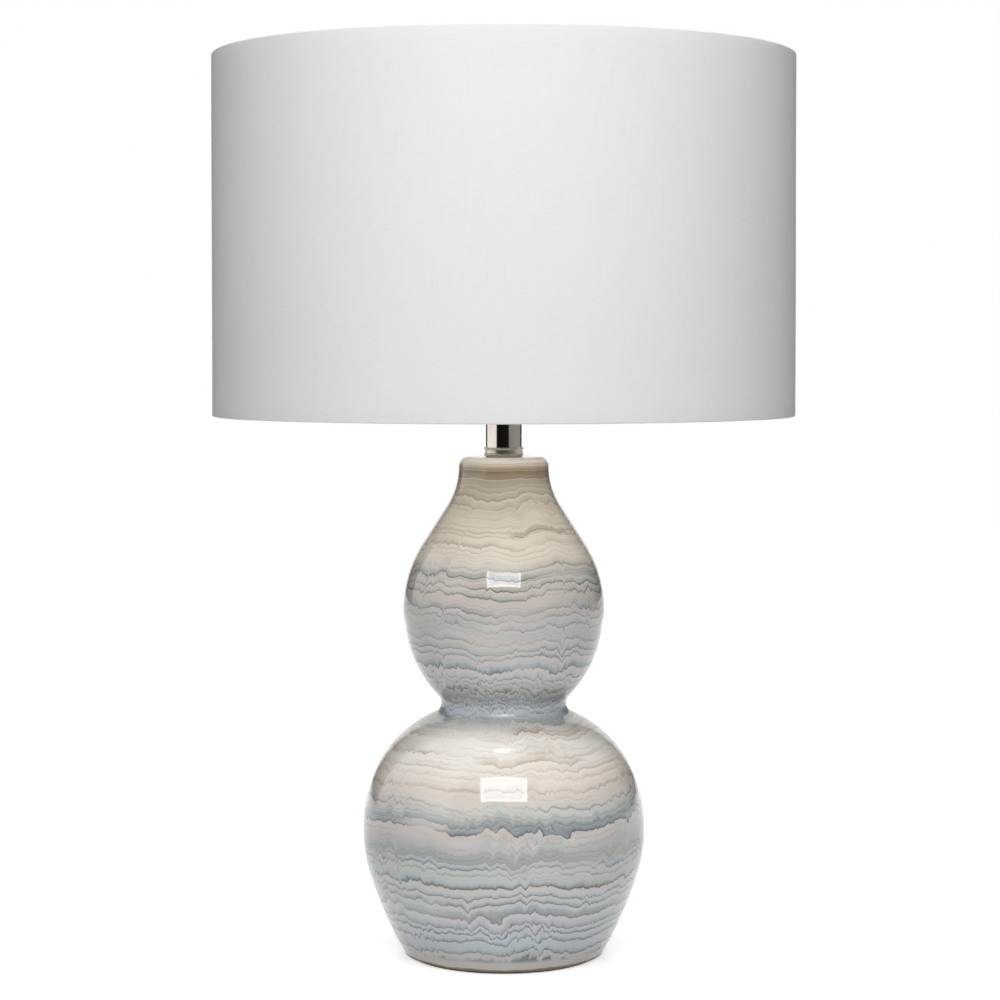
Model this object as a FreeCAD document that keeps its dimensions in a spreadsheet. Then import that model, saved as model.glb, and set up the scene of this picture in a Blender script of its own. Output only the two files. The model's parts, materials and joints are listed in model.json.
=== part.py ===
"""Double gourd table lamp: glazed ceramic body, polished neck, harp, bulb socket and a linen drum shade.

The lamp stands on z = 0 with its axis on Z. The cord hole is at the back (+Y) and the switch knob at
the front (-Y). Lengths are in millimetres. Every size that drives the lamp is a cell of the sheet Sizes,
and heights add up from the table: foot, gourd, neck, saddle, socket, bulb, harp, shade, finial.
"""

import FreeCAD, Part
import math
import os

import Sketcher
from FreeCAD import Placement, Rotation, Vector

SIZES = {
    # felt disc and ceramic foot
    "felt_radius": 70.0,
    "felt_thickness": 1.6,
    "foot_round": 2.0,
    # outside of the gourd, a chain of tangent arcs from the foot to the lip
    "flank_arc": 268.0,
    "flank_joint": 61.5,
    "belly_radius": 105.3,
    "belly_height": 95.0,
    "belly_arc": 116.0,
    "shoulder_joint": 117.0,
    "shoulder_arc": 86.4,
    "waist_arc": 7.9,
    "bulb_radius": 75.1,
    "bulb_height": 257.3,
    "bulb_arc": 92.5,
    "neck_arc": 53.7,
    "lip_radius": 33.6,
    "lip_arc": 7.0,
    "pot_height": 371.5,
    # inside of the gourd
    "pot_wall": 7.0,
    "recess_mouth": 66.5,
    "recess_roof_radius": 76.0,
    "recess_roof": 24.0,
    "web_thickness": 7.0,
    "drain_radius": 16.0,
    "top_bore_radius": 6.5,
    # cord hole and its grommet, square to the flank at the back
    "cord_hole_radius": 5.6,
    "cord_hole_reach": 76.4,
    "cord_hole_height": 14.3,
    "cord_hole_tilt": 28.0,
    "grommet_bore": 4.0,
    "grommet_sleeve": 5.4,
    "grommet_flange": 7.6,
    "grommet_flange_thickness": 1.8,
    "grommet_outer_seat": 4.2,
    "grommet_inner_seat": 5.4,
    # threaded pipe and the fasteners at its foot
    "pipe_radius": 5.1,
    "pipe_bore": 3.6,
    "pipe_foot": 10.5,
    "pipe_top": 444.0,
    "bolt_clearance": 0.25,
    "big_washer_radius": 30.0,
    "big_washer_thickness": 1.6,
    "lock_washer_radius": 9.0,
    "lock_washer_thickness": 1.8,
    "lock_washer_split": 1.6,
    "nut_flats": 14.3,
    "nut_thickness": 5.0,
    "nut_chamfer": 0.7,
    # neck between the gourd and the harp
    "gasket_radius": 13.4,
    "gasket_thickness": 0.8,
    "ring_radius": 14.8,
    "ring_height": 6.2,
    "ring_bead": 1.9,
    "ring_waist": 14.0,
    "spigot_height": 3.0,
    "neck_radius": 13.5,
    "neck_wall": 0.9,
    "neck_length": 51.5,
    "neck_cap_radius": 14.4,
    "neck_cap_thickness": 2.6,
    # harp saddle: a bent strip with a pin at each end
    "saddle_thickness": 1.8,
    "saddle_width": 12.7,
    "saddle_flat": 17.0,
    "saddle_bend": 13.0,
    "saddle_neck_width": 7.0,
    "saddle_rise": 12.5,
    "pin_reach": 30.0,
    "pin_radius": 1.9,
    "pin_top": 28.0,
    # harp
    "wire_radius": 1.8,
    "wire_offset": 1.7,
    "sleeve_inner": 2.25,
    "sleeve_outer": 3.5,
    "sleeve_foot": 14.2,
    "sleeve_top": 32.0,
    "wire_start": 28.6,
    "leg_top": 50.0,
    "leg_bend": 45.0,
    "harp_half_width": 57.5,
    "side_arc": 170.0,
    "corner_arc": 50.0,
    "eye_radius": 7.0,
    "ferrule_bore": 3.85,
    "ferrule_radius": 4.9,
    "ferrule_foot": 14.1,
    "ferrule_length": 14.5,
    "ferrule_groove": 0.35,
    # stud at the top of the harp
    "stud_shank": 2.4,
    "stud_play": 0.1,
    "rivet_radius": 4.2,
    "rivet_thickness": 1.5,
    "collar_radius": 9.5,
    "collar_thickness": 2.4,
    "stud_radius": 3.05,
    "stud_length": 12.7,
    # socket
    "hub_radius": 7.2,
    "hub_height": 9.0,
    "cap_radius": 17.0,
    "cap_dome_top": 16.0,
    "cap_height": 24.0,
    "cap_wall": 0.7,
    "shell_radius": 16.2,
    "shell_wall": 0.6,
    "shell_foot": 18.0,
    "shell_top": 59.0,
    "shell_lip": 0.9,
    "paper_wall": 0.6,
    "core_radius": 14.6,
    "core_foot": 19.0,
    "core_top": 34.0,
    "core_flat": 11.6,
    "thread_bore": 13.3,
    "thread_wall": 0.4,
    "thread_top": 57.5,
    "contact_hole": 5.0,
    "contact_width": 6.0,
    "contact_thickness": 0.6,
    "contact_rise": 2.2,
    "screw_head": 3.2,
    "screw_head_thickness": 1.8,
    "screw_shank": 1.7,
    "screw_slot": 0.8,
    "set_screw_radius": 1.9,
    # switch
    "switch_height": 30.0,
    "bushing_radius": 3.4,
    "bushing_end": 19.2,
    "shaft_radius": 1.6,
    "shaft_play": 0.08,
    "shaft_start": 12.5,
    "knob_start": 19.8,
    "knob_length": 14.0,
    "knob_radius": 7.6,
    "knob_tip_radius": 7.1,
    "knob_flute": 1.0,
    "knob_flutes": 14,
    # bulb, measured up from its contact
    "bulb_foot": 36.8,
    "contact_button": 4.0,
    "button_height": 1.2,
    "insulator_radius": 9.2,
    "insulator_top": 5.0,
    "screw_cap_radius": 12.95,
    "screw_cap_top": 26.5,
    "screw_cap_wall": 0.5,
    "glass_neck_radius": 12.6,
    "glass_wall": 1.0,
    "glass_foot": 24.0,
    "globe_radius": 30.1,
    "globe_height": 76.8,
    "globe_cheek": 62.0,
    # drum shade
    "shade_radius": 216.0,
    "shade_foot": 402.0,
    "shade_height": 266.2,
    "linen_thickness": 0.7,
    "liner_thickness": 0.7,
    "layer_gap": 0.06,
    "hem_roll": 3.2,
    "hem_tuck": 3.6,
    "lap_thickness": 0.4,
    "lap_half_width": 5.5,
    "lap_turn": 262.0,
    "ring_wire": 1.9,
    "ring_clearance": 0.15,
    "weld_gap": 0.05,
    "arm_wire": 1.8,
    "arm_shelf": 27.0,
    "arm_slope": 15.0,
    "arm_bend": 8.0,
    "arm_notch": 2.4,
    "arm_drop": 12.7,
    "washer_radius": 14.0,
    "washer_thickness": 1.4,
    "washer_hole": 5.6,
    # finial
    "finial_base": 7.6,
    "finial_base_height": 1.8,
    "finial_waist": 4.4,
    "finial_waist_height": 6.0,
    "finial_bead": 6.2,
    "finial_bead_height": 9.0,
    "finial_stem": 4.8,
    "finial_ball": 9.0,
    "finial_ball_height": 18.6,
    "finial_bore": 3.35,
    "finial_bore_depth": 14.0,
}
ARM_COUNT = 3
FULL_TURN = 360.0
GEOMETRY_NONE = ""


class Size:
    """A length that knows its number and the cells it is worked out from."""

    def __init__(self, text, value):
        self.text = text
        self.value = float(value)

    @staticmethod
    def of(other):
        """Any plain number as a Size."""
        return other if isinstance(other, Size) else Size(repr(float(other)), other)

    def _join(self, other, sign, value):
        return Size(f"({self.text} {sign} {Size.of(other).text})", value)

    def __add__(self, other):
        return self._join(other, "+", self.value + Size.of(other).value)

    def __sub__(self, other):
        return self._join(other, "-", self.value - Size.of(other).value)

    def __mul__(self, other):
        return self._join(other, "*", self.value * Size.of(other).value)

    def __truediv__(self, other):
        return self._join(other, "/", self.value / Size.of(other).value)

    def __radd__(self, other):
        return Size.of(other) + self

    def __rsub__(self, other):
        return Size.of(other) - self

    def __rmul__(self, other):
        return Size.of(other) * self

    def __neg__(self):
        return Size(f"(0 - {self.text})", -self.value)


class Sizes:
    """The sheet's cells by name, each as a Size."""

    def __init__(self, doc):
        self.sheet = doc.addObject("Spreadsheet::Sheet", "Sizes")
        for row, (name, number) in enumerate(SIZES.items(), start=1):
            self.sheet.set(f"A{row}", name)
            self.sheet.set(f"B{row}", str(number))
            self.sheet.setAlias(f"B{row}", name)
        doc.recompute()

    def __getattr__(self, name):
        return Size(f"Sizes.{name}", self.sheet.get(name))


DOC = FreeCAD.newDocument("DoubleGourdLamp")
S = Sizes(DOC)

# Heights above the table, worked out from the cells.
NECK_RING_FOOT = S.pot_height + S.gasket_thickness
NECK_FOOT = NECK_RING_FOOT + S.ring_height
NECK_CAP_FOOT = NECK_FOOT + S.neck_length
SADDLE_SEAT = NECK_CAP_FOOT + S.neck_cap_thickness
SOCKET_FOOT = SADDLE_SEAT + S.saddle_thickness
BULB_FOOT = SOCKET_FOOT + S.bulb_foot
SHADE_TOP = S.shade_foot + S.shade_height
WASHER_TOP = SHADE_TOP - S.arm_drop
WASHER_FOOT = WASHER_TOP - S.washer_thickness
EYE_TOP = WASHER_FOOT - S.collar_thickness - S.stud_play
HARP_TOP = EYE_TOP - S.wire_radius


# ---- drawing helpers ---------------------------------------------------------------------------


def bind(thing, path, size):
    """Sets one property of a feature and ties it to its cells."""
    thing.setExpression(path, size.text)


def new_body(label, height=None, turn=None):
    """A body with the sub-part's name, standing at a height and turned about an axis."""
    body = DOC.addObject("PartDesign::Body", label)
    body.Label = label
    if turn is not None:
        body.Placement = Placement(Vector(), turn)
    if height is not None:
        bind(body, "Placement.Base.z", height)
    return body


def origin_part(body, role):
    """One of a body's own origin planes or axes."""
    return next(part for part in body.Origin.OriginFeatures if part.Role == role)


def new_sketch(body, name, role="XZ_Plane", offset=None):
    """A sketch on one of the body's own origin planes, or parallel to it at an offset."""
    sketch = body.newObject("Sketcher::SketchObject", name)
    sketch.AttachmentSupport = [(origin_part(body, role), GEOMETRY_NONE)]
    sketch.MapMode = "FlatFace"
    if offset is not None:
        bind(sketch, "AttachmentOffset.Base.z", offset)
    return sketch


def hold(sketch, kind, geometry, size, *ends):
    """A dimension in the sketch, tied to its cells."""
    index = sketch.addConstraint(Sketcher.Constraint(kind, geometry, *ends, size.value))
    sketch.setExpression(f"Constraints[{index}]", size.text)


def place(sketch, geometry, end, across=None, up=None):
    """Ties one end or centre of a line or arc to its distances from the sketch's origin."""
    for kind, size, axis in (("DistanceX", across, -2), ("DistanceY", up, -1)):
        if size is None:
            continue
        size = Size.of(size)
        if abs(size.value) < 1e-9:
            sketch.addConstraint(Sketcher.Constraint("PointOnObject", geometry, end, axis))
        elif size.value > 0:
            hold(sketch, kind, -1, size, 1, geometry, end)
        else:
            hold(sketch, kind, geometry, -size, end, -1, 1)


class Outline:
    """A closed loop of lines and arcs, drawn corner by corner from one start."""

    def __init__(self, sketch, across, up):
        self.sketch = sketch
        self.start = self.here = (Size.of(across), Size.of(up))
        self.first = self.last = None

    def _link(self, geometry, head, tail):
        if self.last is None:
            self.first = (geometry, head)
            place(self.sketch, geometry, head, *self.start)
        else:
            self.sketch.addConstraint(Sketcher.Constraint("Coincident", *self.last, geometry, head))
        self.last = (geometry, tail)

    def _arrive(self, across, up):
        if (across, up) == self.start:
            self.sketch.addConstraint(Sketcher.Constraint("Coincident", *self.last, *self.first))
        else:
            place(self.sketch, *self.last, across, up)
        self.here = (across, up)
        return self

    def line(self, across, up):
        """A straight side to the next corner."""
        across, up = Size.of(across), Size.of(up)
        ends = [Vector(x.value, y.value, 0) for x, y in (self.here, (across, up))]
        geometry = self.sketch.addGeometry(Part.LineSegment(*ends), False)
        self._link(geometry, 1, 2)
        return self._arrive(across, up)

    def arc(self, across, up, radius, side):
        """A round side to the next corner, its centre to the left (side 1) or right (-1) of the way."""
        across, up = Size.of(across), Size.of(up)
        start = Vector(self.here[0].value, self.here[1].value, 0)
        end = Vector(across.value, up.value, 0)
        chord = end - start
        rise = math.sqrt(max(radius.value**2 - chord.Length**2 / 4, 0.0))
        rise = 0.0 if rise < 1e-3 else rise
        left = Vector(-chord.y, chord.x, 0) / chord.Length
        centre = (start + end) / 2 + left * rise * side
        circle = Part.Circle(centre, Vector(0, 0, 1), radius.value)
        tail, head = (end, start) if side > 0 else (start, end)
        angles = [math.atan2(p.y - centre.y, p.x - centre.x) for p in (head, tail)]
        geometry = self.sketch.addGeometry(Part.ArcOfCircle(circle, *angles), False)
        self._link(geometry, *((1, 2) if side > 0 else (2, 1)))
        self._arrive(across, up)
        if rise > 1e-6:
            hold(self.sketch, "Radius", geometry, radius)
        elif abs(chord.x) < abs(chord.y):
            place(self.sketch, geometry, 3, across, None)
        else:
            place(self.sketch, geometry, 3, None, up)
        return self

    def close(self):
        """The last side, straight back to the start."""
        ends = [Vector(x.value, y.value, 0) for x, y in (self.here, self.start)]
        geometry = self.sketch.addGeometry(Part.LineSegment(*ends), False)
        self.sketch.addConstraint(Sketcher.Constraint("Coincident", *self.last, geometry, 1))
        self.sketch.addConstraint(Sketcher.Constraint("Coincident", geometry, 2, *self.first))
        return self.sketch


def circle(sketch, radius, across=0.0, up=0.0):
    """A circle of a given radius about a point of the sketch."""
    across, up = Size.of(across), Size.of(up)
    middle = Vector(across.value, up.value, 0)
    geometry = sketch.addGeometry(Part.Circle(middle, Vector(0, 0, 1), radius.value), False)
    place(sketch, geometry, 3, across, up)
    hold(sketch, "Radius", geometry, radius)
    return sketch


def revolve(body, sketch):
    """Turns an outline about the sketch's upright axis."""
    feature = body.newObject("PartDesign::Revolution", sketch.Name + "_turned")
    feature.Profile = sketch
    feature.ReferenceAxis = (sketch, ["V_Axis"])
    feature.Angle = FULL_TURN
    sketch.Visibility = False
    return feature


def pad(body, sketch, length, midplane=False, backwards=False):
    """Draws an outline out to a length."""
    feature = body.newObject("PartDesign::Pad", sketch.Name + "_pad")
    feature.Profile = sketch
    bind(feature, "Length", length)
    feature.Midplane = midplane
    feature.Reversed = backwards
    return feature


def cut_by(body, kind, sketch, setup):
    """A cutting feature, checked to take material away."""
    DOC.recompute()
    before = body.Shape.Volume
    feature = body.newObject(kind, sketch.Name + "_cut")
    feature.Profile = sketch
    setup(feature)
    DOC.recompute()
    if not feature.Shape.Volume < before - 1e-3:
        raise RuntimeError(f"{feature.Name} cuts nothing")
    return feature


def pocket(body, sketch, length, midplane=False, backwards=False):
    """Cuts an outline into the body to a length."""

    def setup(feature):
        bind(feature, "Length", length)
        feature.Midplane = midplane
        feature.Reversed = backwards

    return cut_by(body, "PartDesign::Pocket", sketch, setup)


def groove(body, sketch):
    """Cuts an outline turned about the sketch's upright axis out of the body."""

    def setup(feature):
        feature.ReferenceAxis = (sketch, ["V_Axis"])
        feature.Angle = FULL_TURN

    return cut_by(body, "PartDesign::Groove", sketch, setup)


def repeat_round(body, feature, count, axis="Z_Axis"):
    """Repeats a feature evenly about one of the body's axes."""
    pattern = body.newObject("PartDesign::PolarPattern", feature.Name + "_round")
    pattern.Originals = [feature]
    pattern.Axis = (origin_part(body, axis), [GEOMETRY_NONE])
    pattern.Angle = FULL_TURN
    pattern.Occurrences = count
    body.Tip = pattern
    return pattern


def mirror(body, features, plane="YZ_Plane"):
    """Repeats features on the other side of one of the body's planes."""
    copy = body.newObject("PartDesign::Mirrored", features[-1].Name + "_mirror")
    copy.Originals = features
    copy.MirrorPlane = (origin_part(body, plane), [GEOMETRY_NONE])
    body.Tip = copy
    return copy


def round_edges(body, radius, wanted, kind="PartDesign::Fillet"):
    """Rounds or chamfers the edges of the body that a test picks."""
    DOC.recompute()
    base = body.Tip
    names = [f"Edge{n}" for n, edge in enumerate(base.Shape.Edges, start=1) if wanted(edge)]
    if not names:
        raise RuntimeError(f"{body.Name} has no such edge")
    feature = body.newObject(kind, base.Name + "_edge")
    feature.Base = (base, names)
    bind(feature, "Radius" if kind.endswith("Fillet") else "Size", radius)
    return feature


def circle_edge(radius, height):
    """A test for a level circular edge of a radius at a height."""

    def test(edge):
        curve = edge.Curve
        return (
            isinstance(curve, Part.Circle)
            and abs(curve.Radius - radius.value) < 0.02
            and abs(curve.Center.z - height.value) < 0.02
        )

    return test


def turned(label, height, draw):
    """A sub-part turned in one piece: draw is called with the sketch of its half section."""
    body = new_body(label, height)
    revolve(body, draw(new_sketch(body, label + "_section")))
    return body


def tube_section(sketch, inner, outer, length):
    """The half section of a plain tube or washer."""
    return Outline(sketch, inner, 0).line(outer, 0).line(outer, length).line(inner, length).close()


def dome_radius(reach, rise):
    """The radius of a dome centred on the axis, from its half width and its height."""
    return (reach * reach + rise * rise) / (rise * 2.0)


# ---- gourd -------------------------------------------------------------------------------------


def point(across, up):
    """A point of a sketch from two sizes or numbers."""
    return Vector(Size.of(across).value, Size.of(up).value, 0)


def touching_centre(centre_a, radius_a, centre_b, radius_b, radius):
    """The centre, on the outer side, of a circle that touches two others from outside."""
    reach_a, reach_b = radius_a + radius, radius_b + radius
    line = centre_b - centre_a
    along = (reach_a**2 - reach_b**2 + line.Length**2) / (2 * line.Length)
    aside = math.sqrt(reach_a**2 - along**2)
    direction = line / line.Length
    return centre_a + direction * along + Vector(direction.y, -direction.x, 0) * aside


def cross_tangent(centre_a, radius_a, centre_b, radius_b):
    """The ends of the straight line that crosses between two circles and rises from the first."""
    line = centre_b - centre_a
    turn = math.atan2(line.y, line.x) - math.acos((radius_a + radius_b) / line.Length)
    normal = Vector(math.cos(turn), math.sin(turn), 0)
    return centre_a + normal * radius_a, centre_b - normal * radius_b


def arc_between(sketch, centre, radius, start, end):
    """An arc drawn anticlockwise about a centre from one point to another."""
    angles = [math.atan2(p.y - centre.y, p.x - centre.x) for p in (start, end)]
    arc = Part.ArcOfCircle(Part.Circle(centre, Vector(0, 0, 1), radius), *angles)
    return sketch.addGeometry(arc, False)


def gourd_side(sketch, inset, foot_height):
    """Draws the gourd's side from a height near its foot up to the lip, inset by a wall.

    The arcs are flank, belly, shoulder, waist, bulb, a short straight run and the hollow below the lip,
    each tangent to the next. Returns the first and last geometry with their free ends.
    """
    share = (S.belly_arc - inset) / S.belly_arc
    flank = S.flank_arc - inset
    belly = S.belly_arc - inset
    shoulder = S.shoulder_arc - inset
    waist = S.waist_arc + inset
    bulb = S.bulb_arc - inset
    hollow = S.neck_arc + inset
    belly_across = S.belly_radius - S.belly_arc
    bulb_across = S.bulb_radius - S.bulb_arc
    hollow_across = S.lip_radius + S.neck_arc
    hollow_up = S.pot_height - S.lip_arc
    flank_joint = S.belly_height - (S.belly_height - S.flank_joint) * share
    shoulder_joint = S.belly_height + (S.shoulder_joint - S.belly_height) * share

    belly_centre = point(belly_across, S.belly_height)
    joints = []
    for joint in (flank_joint, shoulder_joint):
        rise = joint.value - belly_centre.y
        joints.append(belly_centre + Vector(math.sqrt(belly.value**2 - rise**2), rise, 0))
    flank_top, shoulder_foot = joints
    flank_centre = flank_top + (belly_centre - flank_top) * (flank.value / belly.value)
    shoulder_centre = shoulder_foot + (belly_centre - shoulder_foot) * (shoulder.value / belly.value)
    bulb_centre = point(bulb_across, S.bulb_height)
    waist_centre = touching_centre(
        shoulder_centre, shoulder.value, bulb_centre, bulb.value, waist.value
    )
    hollow_centre = point(hollow_across, hollow_up)
    run_foot, run_top = cross_tangent(bulb_centre, bulb.value, hollow_centre, hollow.value)
    waist_foot, waist_top = (
        waist_centre + (c - waist_centre) * (waist.value / (c - waist_centre).Length)
        for c in (shoulder_centre, bulb_centre)
    )
    drop = foot_height.value - flank_centre.y
    foot = flank_centre + Vector(math.sqrt(flank.value**2 - drop**2), drop, 0)
    lip = hollow_centre - Vector(hollow.value, 0, 0)

    arcs = [
        (arc_between(sketch, flank_centre, flank.value, foot, flank_top), 1, 2),
        (arc_between(sketch, belly_centre, belly.value, flank_top, shoulder_foot), 1, 2),
        (arc_between(sketch, shoulder_centre, shoulder.value, shoulder_foot, waist_foot), 1, 2),
        (arc_between(sketch, waist_centre, waist.value, waist_top, waist_foot), 2, 1),
        (arc_between(sketch, bulb_centre, bulb.value, waist_top, run_foot), 1, 2),
        (sketch.addGeometry(Part.LineSegment(run_foot, run_top), False), 1, 2),
        (arc_between(sketch, hollow_centre, hollow.value, lip, run_top), 2, 1),
    ]
    for (below, _, tail), (above, head, _) in zip(arcs, arcs[1:]):
        sketch.addConstraint(Sketcher.Constraint("Tangent", below, tail, above, head))
    radii = (flank, belly, shoulder, waist, bulb, None, hollow)
    for (geometry, _, _), radius in zip(arcs, radii):
        if radius is not None:
            hold(sketch, "Radius", geometry, radius)
    place(sketch, arcs[0][0], 1, None, foot_height)
    place(sketch, arcs[0][0], 2, None, flank_joint)
    place(sketch, arcs[1][0], 3, belly_across, S.belly_height)
    place(sketch, arcs[1][0], 2, None, shoulder_joint)
    place(sketch, arcs[4][0], 3, bulb_across, S.bulb_height)
    place(sketch, arcs[6][0], 3, hollow_across, hollow_up)
    return (arcs[0][0], 1, foot), (arcs[6][0], 1, lip)


def join_line(sketch, start, end, chain, tie):
    """A straight side between two points, joined to the end of the chain behind it."""
    geometry = sketch.addGeometry(Part.LineSegment(start, end), False)
    sketch.addConstraint(Sketcher.Constraint("Coincident", *chain, geometry, 1))
    if tie is not None:
        sketch.addConstraint(Sketcher.Constraint("Coincident", geometry, 2, *tie))
    return geometry


def outside_of_gourd(body):
    """The solid gourd: foot, flank, belly, waist, upper bulb, hollow neck and rounded lip."""
    sketch = new_sketch(body, "gourd_outside")
    foot_end, lip_end = gourd_side(sketch, Size.of(0.0), S.felt_thickness)
    lip_centre = point(S.lip_radius - S.lip_arc, S.pot_height - S.lip_arc)
    lip_top = point(S.lip_radius - S.lip_arc, S.pot_height)
    lip = arc_between(sketch, lip_centre, S.lip_arc.value, lip_end[2], lip_top)
    sketch.addConstraint(Sketcher.Constraint("Tangent", lip_end[0], lip_end[1], lip, 1))
    place(sketch, lip, 3, S.lip_radius - S.lip_arc, None)
    place(sketch, lip, 2, S.lip_radius - S.lip_arc, S.pot_height)
    top = join_line(sketch, lip_top, point(0, S.pot_height), (lip, 2), None)
    place(sketch, top, 2, 0, S.pot_height)
    axis = join_line(sketch, point(0, S.pot_height), point(0, S.felt_thickness), (top, 2), None)
    place(sketch, axis, 2, 0, S.felt_thickness)
    join_line(sketch, point(0, S.felt_thickness), foot_end[2], (axis, 2), foot_end[:2])
    return revolve(body, sketch)


def hollow_of_gourd(body):
    """The cavity above the web, one wall inside the outer form."""
    sketch = new_sketch(body, "gourd_cavity")
    floor = S.recess_roof + S.web_thickness
    foot_end, lip_end = gourd_side(sketch, S.pot_wall, floor)
    roof = S.pot_height - S.lip_arc
    top = join_line(sketch, lip_end[2], point(0, roof), lip_end[:2], None)
    place(sketch, top, 2, 0, roof)
    sketch.addConstraint(Sketcher.Constraint("Horizontal", top))
    axis = join_line(sketch, point(0, roof), point(0, floor), (top, 2), None)
    place(sketch, axis, 2, 0, floor)
    join_line(sketch, point(0, floor), foot_end[2], (axis, 2), foot_end[:2])
    return groove(body, sketch)


def gourd_body():
    """The slip-cast ceramic body, open at the lip and at the web in its foot."""
    body = new_body("gourd_body")
    outside_of_gourd(body)
    hollow_of_gourd(body)
    recess = new_sketch(body, "foot_recess")
    Outline(recess, 0, S.felt_thickness).line(S.recess_mouth, S.felt_thickness).line(
        S.recess_roof_radius, S.recess_roof
    ).line(0, S.recess_roof).close()
    groove(body, recess)
    drain = circle(new_sketch(body, "web_hole", "XY_Plane", S.recess_roof), S.drain_radius)
    pocket(body, drain, S.web_thickness, backwards=True)
    bore = circle(new_sketch(body, "lip_bore", "XY_Plane", S.pot_height), S.top_bore_radius)
    pocket(body, bore, S.pot_wall + S.lip_arc)
    cord_hole = circle(new_sketch(body, "cord_hole"), S.cord_hole_radius)
    downwards = Rotation(Vector(-1, 0, 0), S.cord_hole_tilt.value)
    cord_hole.AttachmentOffset = Placement(Vector(), downwards)
    bind(cord_hole, "AttachmentOffset.Base.y", S.cord_hole_height)
    bind(cord_hole, "AttachmentOffset.Base.z", -S.cord_hole_reach)
    bind(cord_hole, "AttachmentOffset.Rotation.Angle", S.cord_hole_tilt)
    pocket(body, cord_hole, S.pot_wall * 4.0, midplane=True)

    def foot_edge(edge):
        curve = edge.Curve
        low = isinstance(curve, Part.Circle) and abs(curve.Center.z - S.felt_thickness.value) < 0.01
        return low and curve.Radius > S.recess_mouth.value - 0.01

    round_edges(body, S.foot_round, foot_edge)
    return body


def felt_pad():
    """The felt disc stuck under the foot."""
    body = new_body("felt_pad")
    pad(body, circle(new_sketch(body, "felt_outline", "XY_Plane"), S.felt_radius), S.felt_thickness)
    return body


def cord_grommet():
    """The soft bushing in the cord hole: a sleeve with a flange on each side of the wall."""

    def section(sketch):
        inner, outer = S.grommet_inner_seat, S.grommet_outer_seat
        inner_end = inner + S.grommet_flange_thickness
        outer_end = outer + S.grommet_flange_thickness
        return (
            Outline(sketch, S.grommet_bore, -inner_end)
            .line(S.grommet_flange - 0.8, -inner_end)
            .line(S.grommet_flange, -inner - 0.8)
            .line(S.grommet_flange, -inner)
            .line(S.grommet_sleeve, -inner)
            .line(S.grommet_sleeve, outer)
            .line(S.grommet_flange, outer)
            .line(S.grommet_flange, outer + 0.8)
            .line(S.grommet_flange - 0.8, outer_end)
            .line(S.grommet_bore, outer_end)
            .close()
        )

    body = turned("cord_grommet", None, section)
    body.Placement = Placement(Vector(), Rotation(Vector(-1, 0, 0), 90.0 + S.cord_hole_tilt.value))
    bind(body, "Placement.Rotation.Angle", S.cord_hole_tilt + 90.0)
    bind(body, "Placement.Base.y", S.cord_hole_reach)
    bind(body, "Placement.Base.z", S.cord_hole_height)
    return body


# ---- pipe and fasteners at the foot ------------------------------------------------------------


def threaded_pipe():
    """The hollow rod that clamps the lamp together and carries the wires."""
    length = S.pipe_top - S.pipe_foot
    return turned(
        "threaded_pipe",
        S.pipe_foot,
        lambda sketch: tube_section(sketch, S.pipe_bore, S.pipe_radius, length),
    )


def bottom_washer():
    """The large washer that spreads the clamp load over the web."""
    bore = S.pipe_radius + S.bolt_clearance
    return turned(
        "bottom_washer",
        S.recess_roof - S.big_washer_thickness,
        lambda sketch: tube_section(sketch, bore, S.big_washer_radius, S.big_washer_thickness),
    )


def lock_washer():
    """The split spring washer under the nut."""
    bore = S.pipe_radius + S.bolt_clearance
    body = turned(
        "lock_washer",
        S.recess_roof - S.big_washer_thickness - S.lock_washer_thickness,
        lambda sketch: tube_section(sketch, bore, S.lock_washer_radius, S.lock_washer_thickness),
    )
    split = new_sketch(body, "washer_split", "XY_Plane")
    half = S.lock_washer_split / 2.0
    far = S.lock_washer_radius + 1.0
    Outline(split, 0, -half).line(far, -half).line(far, half).line(0, half).close()
    pocket(body, split, S.lock_washer_thickness, backwards=True)
    return body


def bottom_nut():
    """The hexagon nut at the foot of the pipe, chamfered top and bottom."""
    stack = S.big_washer_thickness + S.lock_washer_thickness + S.nut_thickness
    body = new_body("bottom_nut", S.recess_roof - stack)
    corner = S.nut_flats / math.sqrt(3.0)
    half = S.nut_flats / 2.0
    hexagon = new_sketch(body, "nut_hexagon", "XY_Plane")
    outline = Outline(hexagon, corner, 0)
    for across, up in ((0.5, 1), (-0.5, 1), (-1, 0), (-0.5, -1), (0.5, -1)):
        outline.line(corner * across, half * up)
    outline.close()
    pad(body, hexagon, S.nut_thickness)
    bore = new_sketch(body, "nut_bore", "XY_Plane")
    circle(bore, S.pipe_radius + S.bolt_clearance / 2.0)
    pocket(body, bore, S.nut_thickness, backwards=True)
    for name, face, inward in (("nut_foot", Size.of(0.0), 1.0), ("nut_top", S.nut_thickness, -1.0)):
        corner_cut = new_sketch(body, name)
        Outline(corner_cut, half - S.nut_chamfer, face).line(corner + 1.0, face).line(
            corner + 1.0, face + (S.nut_chamfer + 1.0) * inward
        ).close()
        groove(body, corner_cut)
    return body


# ---- neck --------------------------------------------------------------------------------------


def neck_gasket():
    """The soft washer between the glaze and the neck ring."""
    bore = S.pipe_radius + S.bolt_clearance
    return turned(
        "neck_gasket",
        S.pot_height,
        lambda sketch: tube_section(sketch, bore, S.gasket_radius, S.gasket_thickness),
    )


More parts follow.
